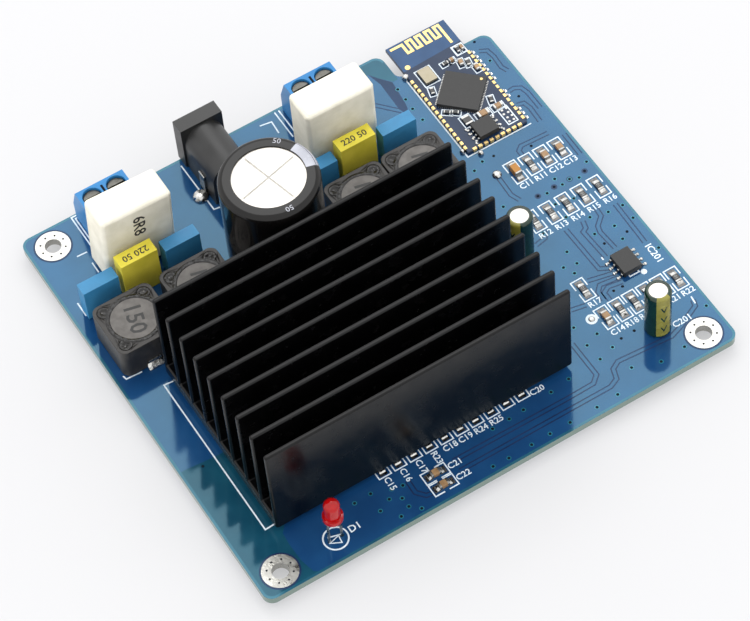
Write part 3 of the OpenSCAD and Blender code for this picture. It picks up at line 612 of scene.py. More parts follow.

# %% [markdown]
# ## Vias
# A via is a plated hole that joins the two copper faces. Here most are tented by the mask with a
# pale ring round a dark hole, and some are covered all over. Each is one or two thin rounds on both
# faces: a pale ring, and a dark round of painted shade where the hole is, because real holes would
# cost a great deal of geometry for a mark half a millimetre wide.

# %% Mark the vias, with painted shade for their holes
OPEN_VIAS = (
    (82.5, 59.6), (80.1, 58.6), (98.8, 48.5), (91.6, 48.5), (92.1, 46.6), (95.6, 46.2),
    (88.6, 46.5), (80.1, 48.5), (92.1, 42.7), (88.5, 43.5), (92.2, 37.4), (88.5, 39.9),
    (95.7, 36.5), (98.8, 36.3), (98.8, 32.8),
    (94.9, 33.2), (90.8, 33.7), (94.5, 29.9), (84.3, 33.2), (84.4, 30), (81.8, 30.6),
    (82.8, 28.4), (82.9, 39.2), (98.9, 24.5), (98.8, 8.9), (78.8, 14.9), (76, 18.4), (75.9, 13.8),
    (79.5, 10.9), (76.2, 10), (85.1, 3.4), (79.9, 5.3), (90.4, 3.7), (78.3, 83.3), (78.3, 80.4),
    (78.2, 77.7), (78.4, 74.4), (96.8, 79.2), (74.6, 1.9), (70, 1.7), (64.2, 1.7), (59.9, 1.7),
    (55.9, 1.6), (51, 1.5), (47.7, 1.6), (69.1, 9.6), (64.9, 9), (58.7, 8.6), (55.5, 8.4),
    (51.9, 8.3), (32.5, 1.3), (28.6, 1.9), (30.8, 2.9), (26.1, 4.9), (30.7, 5), (28.7, 6.1),
    (26.5, 8.9), (23.1, 8.8), (32.2, 7.2), (30.1, 7.6), (93.9, 46.9),
)
COVERED_VIAS = (
    (92.2, 57.5), (85, 59.5), (96.1, 30.8), (91.1, 30.9), (86.6, 21.1), (88.5, 21), (84.8, 11.7),
    (81.9, 11.6), (96.7, 68.8), (96.8, 84.8), (86.8, 46.9), (90.5, 47.0), (97.3, 46.9), (4.4, 30.5),
)
VIA_R = 0.46
VIA_TOP = 0.012
HOLE_R = 0.29
HOLE_TOP = 0.02
PAD_HOLES = 8
PAD_HOLE_R = 0.2
PAD_HOLES_AT = 2.4
PAD_RISE = (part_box("mounting_pads")[1].z - board_high.z) / MM
rim_finish = finish("mask on a copper rim", ("#1F6478", "#2B7587"), 3, 0.8, 0.003, 0.02, **LACQUER)
DARK = {"Roughness": 0.6, "Specular_IOR_Level": 0.1}
# The dark rounds are painted shade: they stand for holes, which are dark only because little light
# gets in.
painted_shade = finish("painted shade of holes and cracks", ("#050B14", "#0A1420"), 2, 0.5, 0.002, **DARK)


def both_faces(shape, x, y, radius, top, rise=0.0):
    """A flat round on both faces of the board, or on pads that stand out of them by rise."""
    disc(shape, x, y, radius, rise + SUNK, rise + top)
    disc(shape, x, y, radius, -BOARD_T - rise - top, -BOARD_T - rise - SUNK)


rims, holes = bmesh.new(), bmesh.new()
for x, y in OPEN_VIAS + COVERED_VIAS:
    if (x, y) in OPEN_VIAS:
        both_faces(rims, x, y, VIA_R, VIA_TOP)
    both_faces(holes, x, y, HOLE_R, HOLE_TOP)
# Eight small holes round each mount are dark rounds of painted shade too.
for x, y in MOUNTS:
    for i in range(PAD_HOLES):
        spot = Vector((x, y)) + polar(PAD_HOLES_AT, i * 360 / PAD_HOLES + 10)
        both_faces(holes, *spot, PAD_HOLE_R, VIA_TOP, PAD_RISE)
piece("via_rims", rims, rim_finish)
piece("via_hole_shade", holes, painted_shade)

# %% [markdown]
# ## Solder and tinned copper
# Solder is a soft tin alloy that sets bright and slightly rippled. Each chip end stands on a tinned
# land, and where the solder wets the chip it climbs in a hollow wedge. Each wedge here is a block
# with its outer top edge pulled down, which catches the light as the real fillet does.

# %% Solder the chips down
tin = finish(
    "hot-dipped tin", ("#8E8E8B", "#A9A8A5"), 1.5, 0.45, 0.02, 0.1, Metallic=1.0, Roughness=0.3
)
solder = finish(
    "tin alloy solder", ("#A5A5A2", "#CFCECB"), 0.9, 0.6, 0.12, 0.08, Metallic=1.0, Roughness=0.2
)
CHIP_ROWS = (
    (86.4, 3.3, 54.0, "TRCC"),
    (83.1, 3.6, 42.4, "RRRRR"),
    (82.1, 0.0, 24.4, "R"),
    (82.2, 3.1, 17.0, "CRRRRR"),
    (30.6, 3.28, 12.95, "CCCRCCRRRC"),
)
CHIPS = [
    (x + i * step, y, kind, 0)
    for x, step, y, kinds in CHIP_ROWS
    for i, kind in enumerate(kinds)
]
CHIPS += [(38.3, 6.0, "C", 90), (38.3, 3.2, "C", 90)]
# The lands and the inductor wire ends get a tin darkened as painted shade, for the shade and dim
# mirror images that they show.
shade_darkened_tin = finish(
    "tin darkened as painted shade", ("#4A4A4B", "#6E6D6C"), 0.7, 0.4, 0.06, 0.1, Metallic=1.0, Roughness=0.35
)
CHIP_ENDS = {"R": 1.0, "C": 1.0, "T": 1.35}
LAND = (1.5, 1.25, 0.05)
LAND_OUT = 0.5
FILLET = (1.25, 0.62, 0.42)
FILLET_FALL = 0.8
FILLET_EDGE = 0.06


def fillet(shape, spot, outward, size):
    """A solder wedge about a layout point, whose foot runs outward, in degrees from the x axis."""
    centre = at(spot.x, spot.y, size[2] / 2)
    verts = bar(shape, centre, size, outward - 90)
    way = polar(1, outward).to_3d()
    crest = [v for v in verts if (v.co - centre).dot(way) > 0 and v.co.z > centre.z]
    bmesh.ops.translate(shape, verts=crest, vec=(0, 0, -FILLET_FALL * size[2] * MM))


lands, wedges = bmesh.new(), bmesh.new()
for x, y, kind, turn in CHIPS:
    for outward in (turn + 90, turn - 90):
        land = Vector((x, y)) + polar(CHIP_ENDS[kind] + LAND_OUT, outward)
        bar(lands, at(land.x, land.y, 0.02), LAND, turn)
        foot = Vector((x, y)) + polar(CHIP_ENDS[kind] + FILLET[1] / 2, outward)
        fillet(wedges, foot, outward, FILLET)
soften(wedges, FILLET_EDGE)
piece("chip_lands", lands, shade_darkened_tin)
piece("chip_fillets", wedges, solder, smooth=60)

# %% Bare pads and blobs of solder
PAD_BLOBS = (
    (83.1, 55.4, 0.95, 0.7), (33.9, 82.5, 1.6, 1.1), (81.0, 84.7, 0.8, 1.0),
    (80.5, 63.5, 0.55, 0.9), (83.2, 61.2, 0.6, 0.9), (79.75, 18.1, 0.62, 0.25),
)
LEAD_BLOBS = (
    ("operational_amplifier_leads", 0.36, 0.28),
    ("module_memory_leads", 0.32, 0.24),
)
LEAD_STEP = 1.27
BLOB_FOOT = -0.02


def blob(shape, centre, radius, rise):
    """A dome of solder with its foot about a point in metres."""
    dome = [(radius, BLOB_FOOT)]
    for i in range(1, 6):
        lift = i * math.pi / 12
        dome.append((radius * math.cos(lift) ** 0.8, rise * math.sin(lift)))
    lathe(shape, dome + [(0.0, rise), (0.0, BLOB_FOOT), dome[0]], centre, steps=20)


blobs = bmesh.new()
for x, y, radius, rise in PAD_BLOBS:
    blob(blobs, at(x, y), radius, rise)
for name, radius, rise in LEAD_BLOBS:
    low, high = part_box(name)
    for x in (low.x, high.x):
        for i in range(4):
            y = (low.y + high.y) / 2 + (i - 1.5) * LEAD_STEP * MM
            blob(blobs, Vector((x, y, low.z)), radius, rise)
piece("solder_blobs", blobs, solder, smooth=50)

# %% [markdown]
# ## Legend
# The legend is white epoxy ink, screen printed on the mask: a bracket round each chip, outlines of
# the big parts, and plain reference numbers. Ink is thick enough to have an edge, so each line is a
# raised stroke of 0.03 mm, and its face is slightly chalky.

# %% Print the brackets and labels of the chips
ink = finish("white legend ink", ("#CFDDE8", "#E4EDF4"), 1.2, 0.15, 0.004, Roughness=0.55)
INK_TOP = 0.03
INK_W = 0.24
BRACKET_HALVES = {"R": 2.45, "C": 2.45, "T": 2.6}
legend = bmesh.new()


def print_line(points, width=INK_W):
    """A white line through layout points."""
    stroke(legend, points, width, SUNK, INK_TOP)


def print_label(words, x, y, height=1.22, turn=0):
    """A plain label on the board, centred at a layout point."""
    letters(legend, words, height, turned(at(x, y, INK_TOP / 2), turn), heavy=BOLD)


def print_bracket(x, y, turn, half_l, half_w=1.25, gap=0.5):
    """Two brackets that close round the ends of a chip, with a gap at the middle of its sides."""
    spin = Matrix.Rotation(math.radians(turn), 2)
    for end in (-1, 1):
        corners = [(-half_w, end * gap), (-half_w, end * half_l), (half_w, end * half_l)]
        corners.append((half_w, end * gap))
        print_line([Vector((x, y)) + spin @ Vector(c) for c in corners])


counts = {"R": 10, "C": 10}
for x, y, kind, turn in CHIPS:
    print_bracket(x, y, turn, BRACKET_HALVES[kind])
    letter = "R" if kind == "R" else "C"
    counts[letter] += 1
    word = letter + str(counts[letter])
    if turn:
        print_label(word, x + 4.1, y - 0.1)
    elif y > 13:
        print_label(word, x + 0.2, y - 3.6)
    elif x < 41:
        print_label(word, x - 0.1, y - 4.2, turn=-90)
    elif x < 54:
        print_label(word, x - 0.1, y - 3.55)
    elif x > 60:
        print_label(word, x + 2.9, y - 2.2)
print("labels:", counts)

# %% Print the outlines of the big parts
BIG_LINES = (
    ((9.1, 49.3), (7.1, 49.5), (7.1, 12.95), (8.9, 13.05)),
    ((1.8, 55.4), (2.0, 54.5), (5.2, 54.3)),
    ((34.4, 91), (34.5, 78.6), (35.7, 78.4)),
    ((11.0, 84.3), (11.0, 92.1), (13.0, 92.1)),
    ((11.6, 84.3), (11.6, 91.5), (13.0, 91.5)),
    ((55.7, 91.9), (55.7, 84.9)),
    ((56.6, 91.9), (56.6, 84.9)),
    ((7.6, 83.6), (9.7, 83.5)),
    ((51.7, 90.7), (54.1, 90.3), (53.9, 87.2)),
    ((2.6, 74.3), (2.6, 71.0), (3.4, 71.0)),
    ((9.3, 80.8), (9.3, 78.2)),
    ((80.8, 84.2), (80.8, 62.0), (95.1, 62.0)),
    ((97.65, 12.15), (97.45, 10.45)),
    ((88.9, 27.9), (88.9, 28.6)),
    ((90.9, 22.6), (90.9, 22.05), (92.9, 22.05), (92.9, 22.6)),
)
BIG_W = 0.28
LED = (16.6, 4.5)
TEST_POINT = (79.75, 18.1)
for points in BIG_LINES:
    print_line(points, BIG_W)
lathe(legend, ring(2.15, 2.45, SUNK, INK_TOP), at(*LED), steps=40)
print_line(((15.4, 5.4), (17.9, 4.7)), 0.26)
print_line(((15.2, 4.2), (17.1, 3.2), (17.3, 4.75), (15.2, 4.2)), 0.22)
print_label("D1", 20.6, 4.6, 1.4)
print_label("IC201", 97.5, 23.9, 1.35, -90)
print_label("C201", 93.3, 8.6, 1.3)
disc(legend, 93.62, 21.55, 0.6, SUNK, INK_TOP, 20)
lathe(legend, ring(0.64, 1.12, SUNK, INK_TOP), at(*TEST_POINT), steps=24)
piece("legend", legend, ink)

# %% [markdown]
# ## Heatsink
# The heatsink is an aluminium extrusion, cut to length and dyed black by anodising. The oxide is a
# deep, smooth black that mirrors only faintly, so the eye reads the fins by their thin top
# edges, which face the light and show as grey lines.

# %% Anodise the heatsink
OXIDE = {"Roughness": 0.24, "Specular_IOR_Level": 0.22}
anodised = finish(
    "black anodised aluminium", ("#040405", "#070708"), 3, 0.25, 0.002, 0.04, **OXIDE
)
dress(anodised, 0.42, "heatsink")
nodes["heatsink"].modifiers["edges"].use_clamp_overlap = False

# %% [markdown]
# ## The other finishes
# Each remaining solid gets the finish of its real material, named for it. Moulded plastics differ
# in gloss and mould grain, metals in how bright they were plated, and ceramics in
# how chalky they are.

# %% Metals
METAL = {"Metallic": 1.0}
steel = finish(
    "nickel plated steel", ("#8F8E8B", "#ABAAA6"), 1.2, 0.4, 0.02, 0.08, Roughness=0.25, **METAL
)
levelled = finish(
    "hot air levelled tin", ("#A3A29C", "#B9B8B3"), 1.5, 0.45, 0.03, 0.1, Roughness=0.3, **METAL
)
zinc = finish(
    "dull zinc plated steel", ("#55544F", "#6E6D68"), 1, 0.4, 0.03, 0.08, Roughness=0.4, **METAL
)
aluminium = finish(
    "bare drawn aluminium", ("#B9B5AE", "#CFCBC4"), 2.5, 0.3, 0.003, 0.06, Roughness=0.4, **METAL
)
copper = finish(
    "enamelled copper wire", ("#8A4B22", "#A65E2C"), 1.5, 0.4, 0.004, Metallic=0.8, Roughness=0.3
)
gold = finish(
    "immersion gold", ("#C4A66A", "#D8BD85"), 1.0, 0.25, 0.003, 0.05, Roughness=0.35, **METAL
)
can = finish(
    "gilt nickel crystal can", ("#87806E", "#989180"), 1.5, 0.2, 0.002, Roughness=0.42, **METAL
)
dress(tin, 0.03, "chip_terminations", "component_leads", "terminal_contacts", "jack_contacts")
dress(tin, 0.03, "amplifier_chip_leads", "operational_amplifier_leads", "module_memory_leads")
dress(tin, 0.04, "inductor_clips")
dress(levelled, 0, "mounting_pads")
dress(solder, 0, "solder_joints")
dress(steel, 0.08, "heatsink_screws", "jack_centre_pin")
dress(zinc, 0.08, *four("terminal_screw"), *four("terminal_clamp"))
dress(aluminium, 0.05, "main_capacitor_can", "small_capacitor_cans")
dress(copper, 0, "inductor_windings")
dress(gold, 0, "module_contacts")
dress(can, 0.1, "module_crystal")

# %% Plastics, rubbers and resins
MATT = {"Specular_IOR_Level": 0.22}
GLOSSY = {"Specular_IOR_Level": 0.42}
epoxy = finish(
    "moulded black epoxy", ("#232323", "#2E2E2E"), 1.5, 0.12, 0.004, Roughness=0.5, **GLOSSY
)
silicone = finish("grey silicone pad", ("#7F8588", "#8D9396"), 4, 0.4, 0.01, Roughness=0.7)
resin = finish(
    "dark potting resin", ("#0D0C0B", "#181615"), 0.8, 0.7, 0.25, Roughness=0.18, **GLOSSY
)
SLEEK = {"Roughness": 0.12, "Specular_IOR_Level": 0.28}
sleeve = finish("shrunk black sleeve", ("#090808", "#100F0E"), 5, 0.5, 0.004, **SLEEK)
rubber = finish("black rubber bung", ("#1A1A1A", "#242424"), 2, 0.3, 0.01, Roughness=0.75)
yellow = finish(
    "yellow polyester box", ("#CDBF3C", "#DACB47"), 3, 0.18, 0.006, Roughness=0.4, **MATT
)
sky_blue = finish(
    "sky blue polyester box", ("#2F78A5", "#3882AF"), 3, 0.18, 0.006, Roughness=0.5, **GLOSSY
)
nylon = finish(
    "blue moulded nylon", ("#2B74AE", "#357EB8"), 4, 0.25, 0.006, Roughness=0.35, **MATT
)
jack_plastic = finish(
    "black moulded plastic", ("#212121", "#2B2B2B"), 4, 0.3, 0.012, Roughness=0.4, **GLOSSY
)
navy = finish(
    "navy solder mask", ("#172943", "#1F314B"), 5, 1.2, 0.003, 0.02, Roughness=0.12, **MATT
)
green = finish("shrunk green sleeve", ("#082418", "#0D2E20"), 2, 0.4, 0.004, 0.04, Roughness=0.18)
CLEAR = {"Roughness": 0.1, "IOR": 1.5, "Specular_IOR_Level": 0.35, "Transmission_Weight": 0.2}
lens = finish("red epoxy lens", ("#A80406", "#B8080B"), 2, 0.5, 0.002, 0.02, **CLEAR)
dress(epoxy, 0.08, "amplifier_chip_body", "operational_amplifier_body")
dress(epoxy, 0.06, "module_radio_chip", "module_memory_chip")
dress(silicone, 0.03, "thermal_pad")
dress(resin, 0, "inductor_resin")
dress(sleeve, 0.06, "main_capacitor_sleeve")
dress(rubber, 0.1, "main_capacitor_bung")
dress(yellow, 0.38, "yellow_film_capacitor_1", "yellow_film_capacitor_2")
dress(sky_blue, 0.35, *four("blue_film_capacitor"))
dress(nylon, 0.12, "terminal_housing_1", "terminal_housing_2")
dress(jack_plastic, 0.15, "jack_housing")
dress(navy, 0.03, "module_board")
dress(green, 0.04, "small_capacitor_sleeves")
dress(lens, 0.05, "indicator_lens")

# %% Ceramics and ferrites
cement = finish(
    "white cement in a ceramic box", ("#E2DDCB", "#EFEADA"), 3, 0.25, 0.03, Roughness=0.6
)
ferrite = finish(
    "pressed ferrite shield", ("#242221", "#32302E"), 1.2, 0.25, 0.04, Roughness=0.42, **GLOSSY
)
ferrite_core = finish(
    "ground ferrite core", ("#5C5956", "#6E6B68"), 1.5, 0.2, 0.012, Roughness=0.45, **MATT
)
glaze = finish("black glass glaze", ("#121315", "#1C1D20"), 0.8, 0.3, 0.004, Roughness=0.25)
ceramic = finish("tan barium ceramic", ("#8B6B48", "#A07F59"), 0.8, 0.2, 0.006, Roughness=0.45)
dress(cement, 0.35, "cement_resistor_1", "cement_resistor_2")
dress(ferrite, 0.18, *four("inductor_shield"))
dress(ferrite_core, 0.12, *four("inductor_core"))
dress(glaze, 0.04, "chip_resistors")
dress(ceramic, 0.05, "chip_capacitors")

# %% [markdown]
# One of the chip capacitors is a tantalum type, moulded in orange resin. It belongs to the same
# solid as the tan ones, so its colour is chosen by its place.

# %% Colour the tantalum capacitor
TANTALUM = at(86.4, 54.0, 0.7)
TANTALUM_R = 2.0 * MM
tree = ceramic.node_tree
place = add(tree, "TexCoord", {}).outputs["Object"]
apart = add(tree, "VectorMath", {0: place, 1: TANTALUM}, operation="DISTANCE")
is_near = add(tree, "Math", {0: apart.outputs["Value"], 1: TANTALUM_R}, operation="LESS_THAN")
tint(ceramic, is_near.outputs[0], "#A8701C")
print("orange within", TANTALUM_R / MM, "mm of the tantalum capacitor")

# %% [markdown]
# ## Capacitor ends and sleeve prints
# The end of a big can is scored with a cross, so that it opens along the lines if pressure builds
# up inside. Four thin quarter plates over a cross give real grooves, and the cross is a dull grey
# as painted shade in the grooves. The sleeve carries a pale stripe on the negative side, which
# follows
# its shoulder: a closed outline is spun part of a turn.

# %% Score the can's end
CAP = Vector((39.3, 62.0))
SCORE_TURN = 14
SCORE_W = 0.8
SCORE_R = 6.3
SHIFT = 0.26
can_top = (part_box("main_capacitor_can")[1].z - board_high.z) / MM
# The cross under the quarter plates is a grey of painted shade, darker than the bright can.
groove_shade = finish("painted shade in the scored cross", ("#A19E97", "#B6B3AC"), 1, 0.2, 0.01, Roughness=0.6)
grooves, quarters = bmesh.new(), bmesh.new()
plate = ((0.0, -0.03), (6.55, -0.03), (6.6, 0.03), (6.4, 0.06), (0.0, 0.06), (0.0, -0.03))
for i in range(4):
    turn = SCORE_TURN + i * 90
    hub = CAP + polar(SHIFT, turn + 45)
    lathe(quarters, plate, at(hub.x, hub.y, can_top), 90, turn, steps=14)
for turn in (SCORE_TURN, SCORE_TURN + 90):
    way = polar(SCORE_R, turn)
    # The second line is a hair higher, so that the two tops don't lie in one plane.
    lift = 0.01 + turn * 1e-5
    stroke(grooves, (CAP - way, CAP + way), SCORE_W, can_top - 0.02, can_top + lift)
piece("capacitor_quarters", quarters, aluminium, smooth=40)
piece("capacitor_grooves", grooves, groove_shade)

# %% Print the sleeves
MAIN_SLEEVE = (9.5, 25.5, 1.2, 7.0, 1.9)
SMALL_SLEEVE = (2.5, 12.0, 0.6, 1.76, 0.6)
SMALL_CAPS = ((88.8, 10.0, -131, 66), (77.1, 37.8, -195, 76))
DIGITS_AT = 8.1
stripe_ink = finish("pale grey sleeve print", ("#9C9EA8", "#AEB0B9"), 3, 0.4, 0.004, Roughness=0.3)
olive_ink = finish(
    "olive yellow sleeve print", ("#77722A", "#878236"), 2, 0.4, 0.004, Roughness=0.25
)


def skin(radius, top, rounding, disc_r, foot, level):
    """The outline of a sleeve, from the rim of its open disc to its foot, raised by level."""
    hub, reach = radius - rounding, rounding + level
    line = [(disc_r, top + level), (hub, top + level)]
    for angle in (70, 45, 20):
        turn = math.radians(angle)
        line.append((hub + reach * math.cos(turn), top - rounding + reach * math.sin(turn)))
    return line + [(radius + level, top - rounding), (radius + level, foot)]


def band(shape, x, y, start, sweep, outline):
    """A printed band on a sleeve, between two angles in degrees."""
    outer, under = skin(*outline, 0.02), skin(*outline, -0.06)
    lathe(shape, outer + under[::-1] + outer[:1], at(x, y), sweep, start, steps=12)


stripe, olive = bmesh.new(), bmesh.new()
band(stripe, CAP.x, CAP.y, -16, 41, MAIN_SLEEVE)
for turn in (49, -93):
    spot = CAP + polar(DIGITS_AT, turn)
    letters(stripe, "50", 1.1, turned(at(spot.x, spot.y, MAIN_SLEEVE[1] + 0.01), turn - 90))
for x, y, start, sweep in SMALL_CAPS:
    band(olive, x, y, start, sweep, SMALL_SLEEVE)
piece("capacitor_stripe", stripe, stripe_ink, smooth=40)
piece("small_capacitor_stripes", olive, olive_ink, smooth=40)

# %% [markdown]
# The stripe of a small capacitor carries dark arrows that point at the negative lead. Each arrow is
# a flat letter V, bent round the can.

# %% Print the arrows
def wrap(verts, centre, radius, angle):
    """Bends flat verts round an upright axis: x runs round it, y up it and z out of it."""
    for vert in verts:
        turn = math.radians(angle) + vert.co.x / (radius * MM)
        reach = radius * MM + vert.co.z
        vert.co = centre + Vector((reach * math.cos(turn), reach * math.sin(turn), vert.co.y))


arrows = bmesh.new()
for x, y, start, sweep in SMALL_CAPS:
    for level in (2.6, 5.6, 8.6):
        flat = letters(arrows, "V", 1.5, Matrix.Translation((0, level * MM, 0)), 0.1, BOLD)
        wrap(flat, at(x, y), SMALL_SLEEVE[0], start + sweep / 2)
piece("small_capacitor_arrows", arrows, green)

# %% [markdown]
# ## Inductor tops
# A drum core sits in a square ferrite shield and is glued with dark resin, which swells in a bead
# round the core and round the four wire ends. The bead is an outline spun round the core,
# and each wire end a short turned stub. A plain number is stamped on the core.

# %% Glue and stamp the inductors
POCKET_AT = 4.14
WIRE_OUT = 1.06
STAMP_TURN = -104
CORNERS = ((-1, -1), (1, -1), (-1, 1), (1, 1))
DISH = (
    (1.23, -0.4), (1.23, -0.03), (1.0, 0.06), (0.72, -0.08), (0.3, -0.22), (0.0, -0.24),
    (0.0, -0.4), (1.23, -0.4),
)
STUB = ((0.0, -0.3), (0.2, -0.3), (0.2, -0.14), (0.13, -0.09), (0.0, -0.08), (0.0, -0.3))
stamp_ink = finish("black stamping ink", ("#161616", "#232323"), 1, 0.2, 0.004, Roughness=0.5)
beads, ends, stamps = bmesh.new(), bmesh.new(), bmesh.new()
for i in (1, 2, 3, 4):
    low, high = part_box(f"inductor_core_{i}")
    middle = Vector(((low.x + high.x) / 2, (low.y + high.y) / 2, high.z))
    rim = (high.x - low.x) / 2 / MM
    bead = ((rim - 0.25, -0.04), (rim - 0.15, 0.05), (rim + 0.15, 0.12), (rim + 0.5, 0.1))
    lathe(beads, bead + ((rim + 0.75, -0.04), bead[0]), middle, steps=40)
    for x, y in CORNERS:
        way = Vector((x, y, 0)) * POCKET_AT * MM
        lathe(beads, DISH, middle + way, steps=20)
        lathe(ends, STUB, middle + way * WIRE_OUT, steps=12)
    letters(stamps, "150", 3.2, turned(middle, STAMP_TURN), heavy=BOLD)
piece("inductor_beads", beads, resin, smooth=60)
piece("inductor_wire_ends", ends, shade_darkened_tin, smooth=50)

# %% Solder the inductor clips
CLIP_FILLET = (3.4, 0.75, 1.7)
CLIP_OUT = 0.6
clip_solder = bmesh.new()
for i in (1, 2, 3, 4):
    low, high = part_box(f"inductor_shield_{i}")
    x = ((low.x + high.x) / 2 - board_low.x) / MM
    for y, outward in ((low.y, -90), (high.y, 90)):
        spot = Vector((x, (y - board_low.y) / MM)) + polar(CLIP_OUT, outward)
        fillet(clip_solder, spot, outward, CLIP_FILLET)
bmesh.ops.subdivide_edges(clip_solder, edges=clip_solder.edges[:], cuts=3, use_grid_fill=True)
bmesh.ops.smooth_vert(
    clip_solder, verts=clip_solder.verts[:], factor=0.5, use_axis_x=True, use_axis_z=True
)
piece("inductor_clip_solder", clip_solder, solder, smooth=60)

# %% [markdown]
# ## Printed values
# The film capacitors, the left resistor and the chip resistors carry plain numbers in ink. Each is
# a text made a mesh and laid on its face.

# %% Print the values
FILM_Y = 71.0
FILM_TOP = 10.5
CHIP_TOP = 0.5
for x, turn in ((14.55, 180), (61.75, 0)):
    letters(stamps, "220 50", 1.35, turned(at(x, FILM_Y, FILM_TOP), turn), heavy=BOLD)
resistor_front = (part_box("cement_resistor_1")[0].y - board_low.y) / MM
upright = Matrix.Rotation(math.radians(90), 4, "X") @ Matrix.Rotation(math.radians(-93), 4, "Z")
face = Matrix.Translation(at(17.5, resistor_front, 13.2))
letters(stamps, "6R8", 2.4, face @ upright, heavy=BOLD)
piece("stamped_numbers", stamps, stamp_ink)

chip_numbers = bmesh.new()
for x, y, kind, turn in CHIPS:
    if kind == "R":
        letters(chip_numbers, "10", 0.62, turned(at(x, y, CHIP_TOP), 90))
pale_ink = finish("pale chip print", ("#8C8C88", "#A3A39F"), 1, 0.2, 0.002, Roughness=0.5)
piece("chip_numbers", chip_numbers, pale_ink)

# %% Paint the shade in the crack between the two poles of each terminal
SEAM = (0.45, 3.4, 0.05)
SEAM_Y = 3.2
seams = bmesh.new()
for i in (1, 2):
    low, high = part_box(f"terminal_housing_{i}")
    centre = Vector(((low.x + high.x) / 2, low.y + SEAM_Y * MM, high.z + 0.005 * MM))
    bar(seams, centre, SEAM)
# The dark bar is painted shade where the two moulded halves of a terminal meet.
piece("terminal_seam_shade", seams, painted_shade)

# %% [markdown]
# ## Radio module
# The module is a small board of its own, soldered by plated notches along its edges. Its navy mask
# turns bluer at the back, where there is no copper behind the aerial, a folded gold track. The
# small parts round the radio chip are blocks with tinned ends, inside thin white frames.

# %% Lay the aerial and the edge lands
near, far = [(corner - at(0, 0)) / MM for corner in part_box("module_board")]
MODULE_LEFT, MODULE_FRONT = near.x, near.y
MODULE_RIGHT, MODULE_BACK, DECK = far
MODULE_MID = 87.8
FOIL_FOOT, FOIL_TOP = DECK - 0.01, DECK + 0.03
FOLD = 2.1
SIDE_LAND, FRONT_LAND = (0.38, 0.8, 0.04), (0.8, 0.38, 0.04)
LAND_IN, LAND_UP = 0.22, 0.01
PIN_ONE_MARK = (92.4, 75.3, 0.28, 1.64, 1.67)
MARGIN = 0.03
aerial_finish = finish(
    "navy mask over clear laminate", ("#1F4268", "#264A72"), 5, 1.2, 0.003, Roughness=0.12, **MATT
)
aerial_area, golds = bmesh.new(), bmesh.new()
left, right, back = MODULE_LEFT + MARGIN, MODULE_RIGHT - MARGIN, MODULE_BACK - MARGIN
corners = ((left, 85.6), (right, 86.1), (right, back), (left, back))
patch(aerial_area, corners, DECK - 0.02, DECK + AREA_TOP)
piece("aerial_area", aerial_area, aerial_finish)
aerial = [(81.75, 91.6), (84.4, 91.6)]
for i in range(4):
    x = 84.4 + i * FOLD
    aerial += [(x, 89.2), (x + FOLD / 2, 89.2), (x + FOLD / 2, 91.8), (x + FOLD, 91.8)]
aerial += [(92.8, 86.6)]
stroke(golds, aerial, 0.56, FOIL_FOOT, FOIL_TOP)
disc(golds, 82.4, 86.2, 0.55, FOIL_FOOT, FOIL_TOP, 18)
rows = [MODULE_FRONT + (i + 1) * LEAD_STEP for i in range(16)]
for y in rows:
    for x in (MODULE_LEFT + LAND_IN, MODULE_RIGHT - LAND_IN):
        bar(golds, at(x, y, DECK + LAND_UP), SIDE_LAND)
for i in range(9):
    x = MODULE_MID + (i - 4) * LEAD_STEP
    bar(golds, at(x, MODULE_FRONT + LAND_IN, DECK + LAND_UP), FRONT_LAND)
disc(golds, *PIN_ONE_MARK, 16)
piece("module_gold", golds, gold)

# %% Solder the notches on the right
SOLDERED = (0, 1, 2, 5, 6, 9, 10, 11, 12, 13, 14, 15)
NOTCH_LAND, NOTCH_LAND_OUT = (0.9, 0.6, 0.06), 0.6
NOTCH_BLOB, NOTCH_BLOB_OUT = (0.34, 0.8), 0.38
notch_solder = bmesh.new()
for i in SOLDERED:
    bar(notch_solder, at(MODULE_RIGHT + NOTCH_LAND_OUT, rows[i], 0.02), NOTCH_LAND)
    blob(notch_solder, at(MODULE_RIGHT + NOTCH_BLOB_OUT, rows[i]), *NOTCH_BLOB)
piece("module_solder", notch_solder, solder, smooth=50)

# %% Set the small parts
SMALL_PARTS = (
    (88.9, 82.8, 0, 1.3, 0.75, "dark"), (90.3, 82.8, 0, 1.0, 0.75, "tan"),
    (91.5, 81.3, 80, 1.6, 0.8, "tan"), (92.7, 80.6, 80, 1.5, 0.8, "dark"),
    (92.7, 84.4, 90, 1.4, 0.7, "dark"), (93.6, 84.4, 90, 1.4, 0.6, "tan"),
    (93.4, 78.6, 90, 1.5, 0.75, "tan"), (83.2, 78.5, 75, 1.5, 0.75, "dark"),
    (91.5, 70.5, 75, 1.5, 0.75, "dark"), (82.9, 72.6, -40, 1.4, 0.7, "dark"),
    (84.2, 71.7, -40, 1.4, 0.7, "dark"), (91.7, 68.4, 0, 1.9, 1.0, "tan"),
    (88.4, 68.4, 0, 2.4, 1.3, "tan"), (85.0, 68.8, 90, 2.1, 1.6, "dark"),
)
TALL = {"tan": 0.75, "dark": 0.5}
BODY_SHARE = 0.56
TIP_SHARE = 0.22
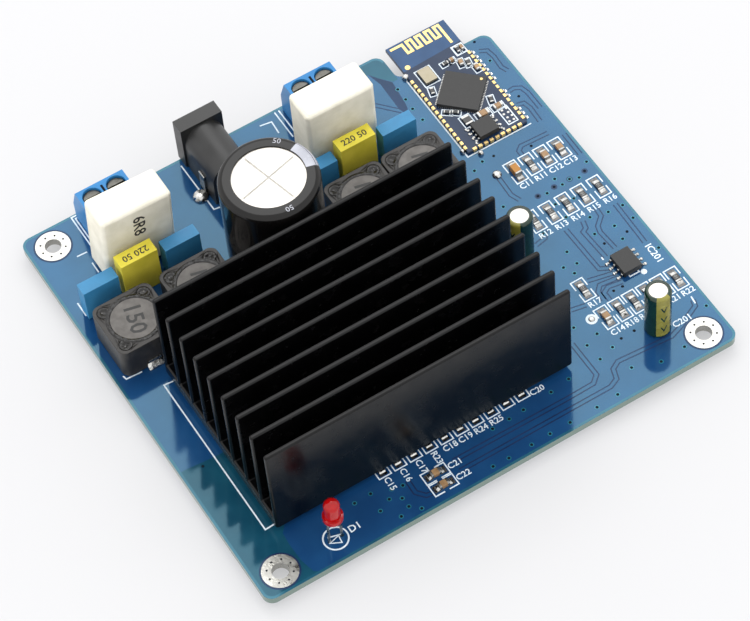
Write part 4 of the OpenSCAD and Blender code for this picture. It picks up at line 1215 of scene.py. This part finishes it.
TIP_AT = (BODY_SHARE + TIP_SHARE) / 2
FRAME_X, FRAME_Y, FRAME_W = 0.4, 0.32, 0.2
SMALL_EDGE = 0.05
bodies = {kind: bmesh.new() for kind in TALL}
tips, frames = bmesh.new(), bmesh.new()
for x, y, turn, length, width, kind in SMALL_PARTS:
    tall = TALL[kind]
    bar(bodies[kind], at(x, y, DECK + tall / 2), (length * BODY_SHARE, width, tall), turn)
    for end in (-1, 1):
        tip = Vector((x, y)) + polar(end * length * TIP_AT, turn)
        bar(tips, at(tip.x, tip.y, DECK + tall / 2), (length * TIP_SHARE, width, tall), turn)
    along = polar(length / 2 + FRAME_X, turn)
    aside = polar(width / 2 + FRAME_Y, turn + 90)
    sides = ((-1, -1), (1, -1), (1, 1), (-1, 1), (-1, -1))
    around = [Vector((x, y)) + along * i + aside * k for i, k in sides]
    stroke(frames, around, FRAME_W, FOIL_FOOT, FOIL_TOP)
for shape in (*bodies.values(), tips):
    soften(shape, SMALL_EDGE)
piece("module_ceramics", bodies["tan"], ceramic)
piece("module_resistors", bodies["dark"], glaze)

# %% Land the radio chip's pins
RADIO = Vector((MODULE_MID, 75.1))
PINS_AT = 4.22
PIN_STEP = 0.38
PIN = (0.5, 0.2, 0.06)
for turn in (45, 135, 225, 315):
    for i in range(20):
        spot = RADIO + polar(PINS_AT, turn) + polar((i - 9.5) * PIN_STEP, turn + 90)
        bar(tips, at(spot.x, spot.y, DECK + 0.02), PIN, turn)
for x in (91.6, 92.6):
    for y in (64.2, 65.2, 66.2, 67.2):
        disc(tips, x + 0.2 * (y % 2), y, 0.26, FOIL_FOOT, DECK + 0.04)
piece("module_pins", tips, tin)

# %% Print the module's frames
for left, front, right, back in (
    (82.75, 80.05, 86.1, 84.4),
    (91.1, 63.6, 93.2, 67.8),
    (91.9, 83.2, 94.2, 85.6),
):
    square = ((left, front), (right, front), (right, back), (left, back), (left, front))
    stroke(frames, square, 0.22, FOIL_FOOT, DECK + 0.032)
piece("module_frames", frames, ink)
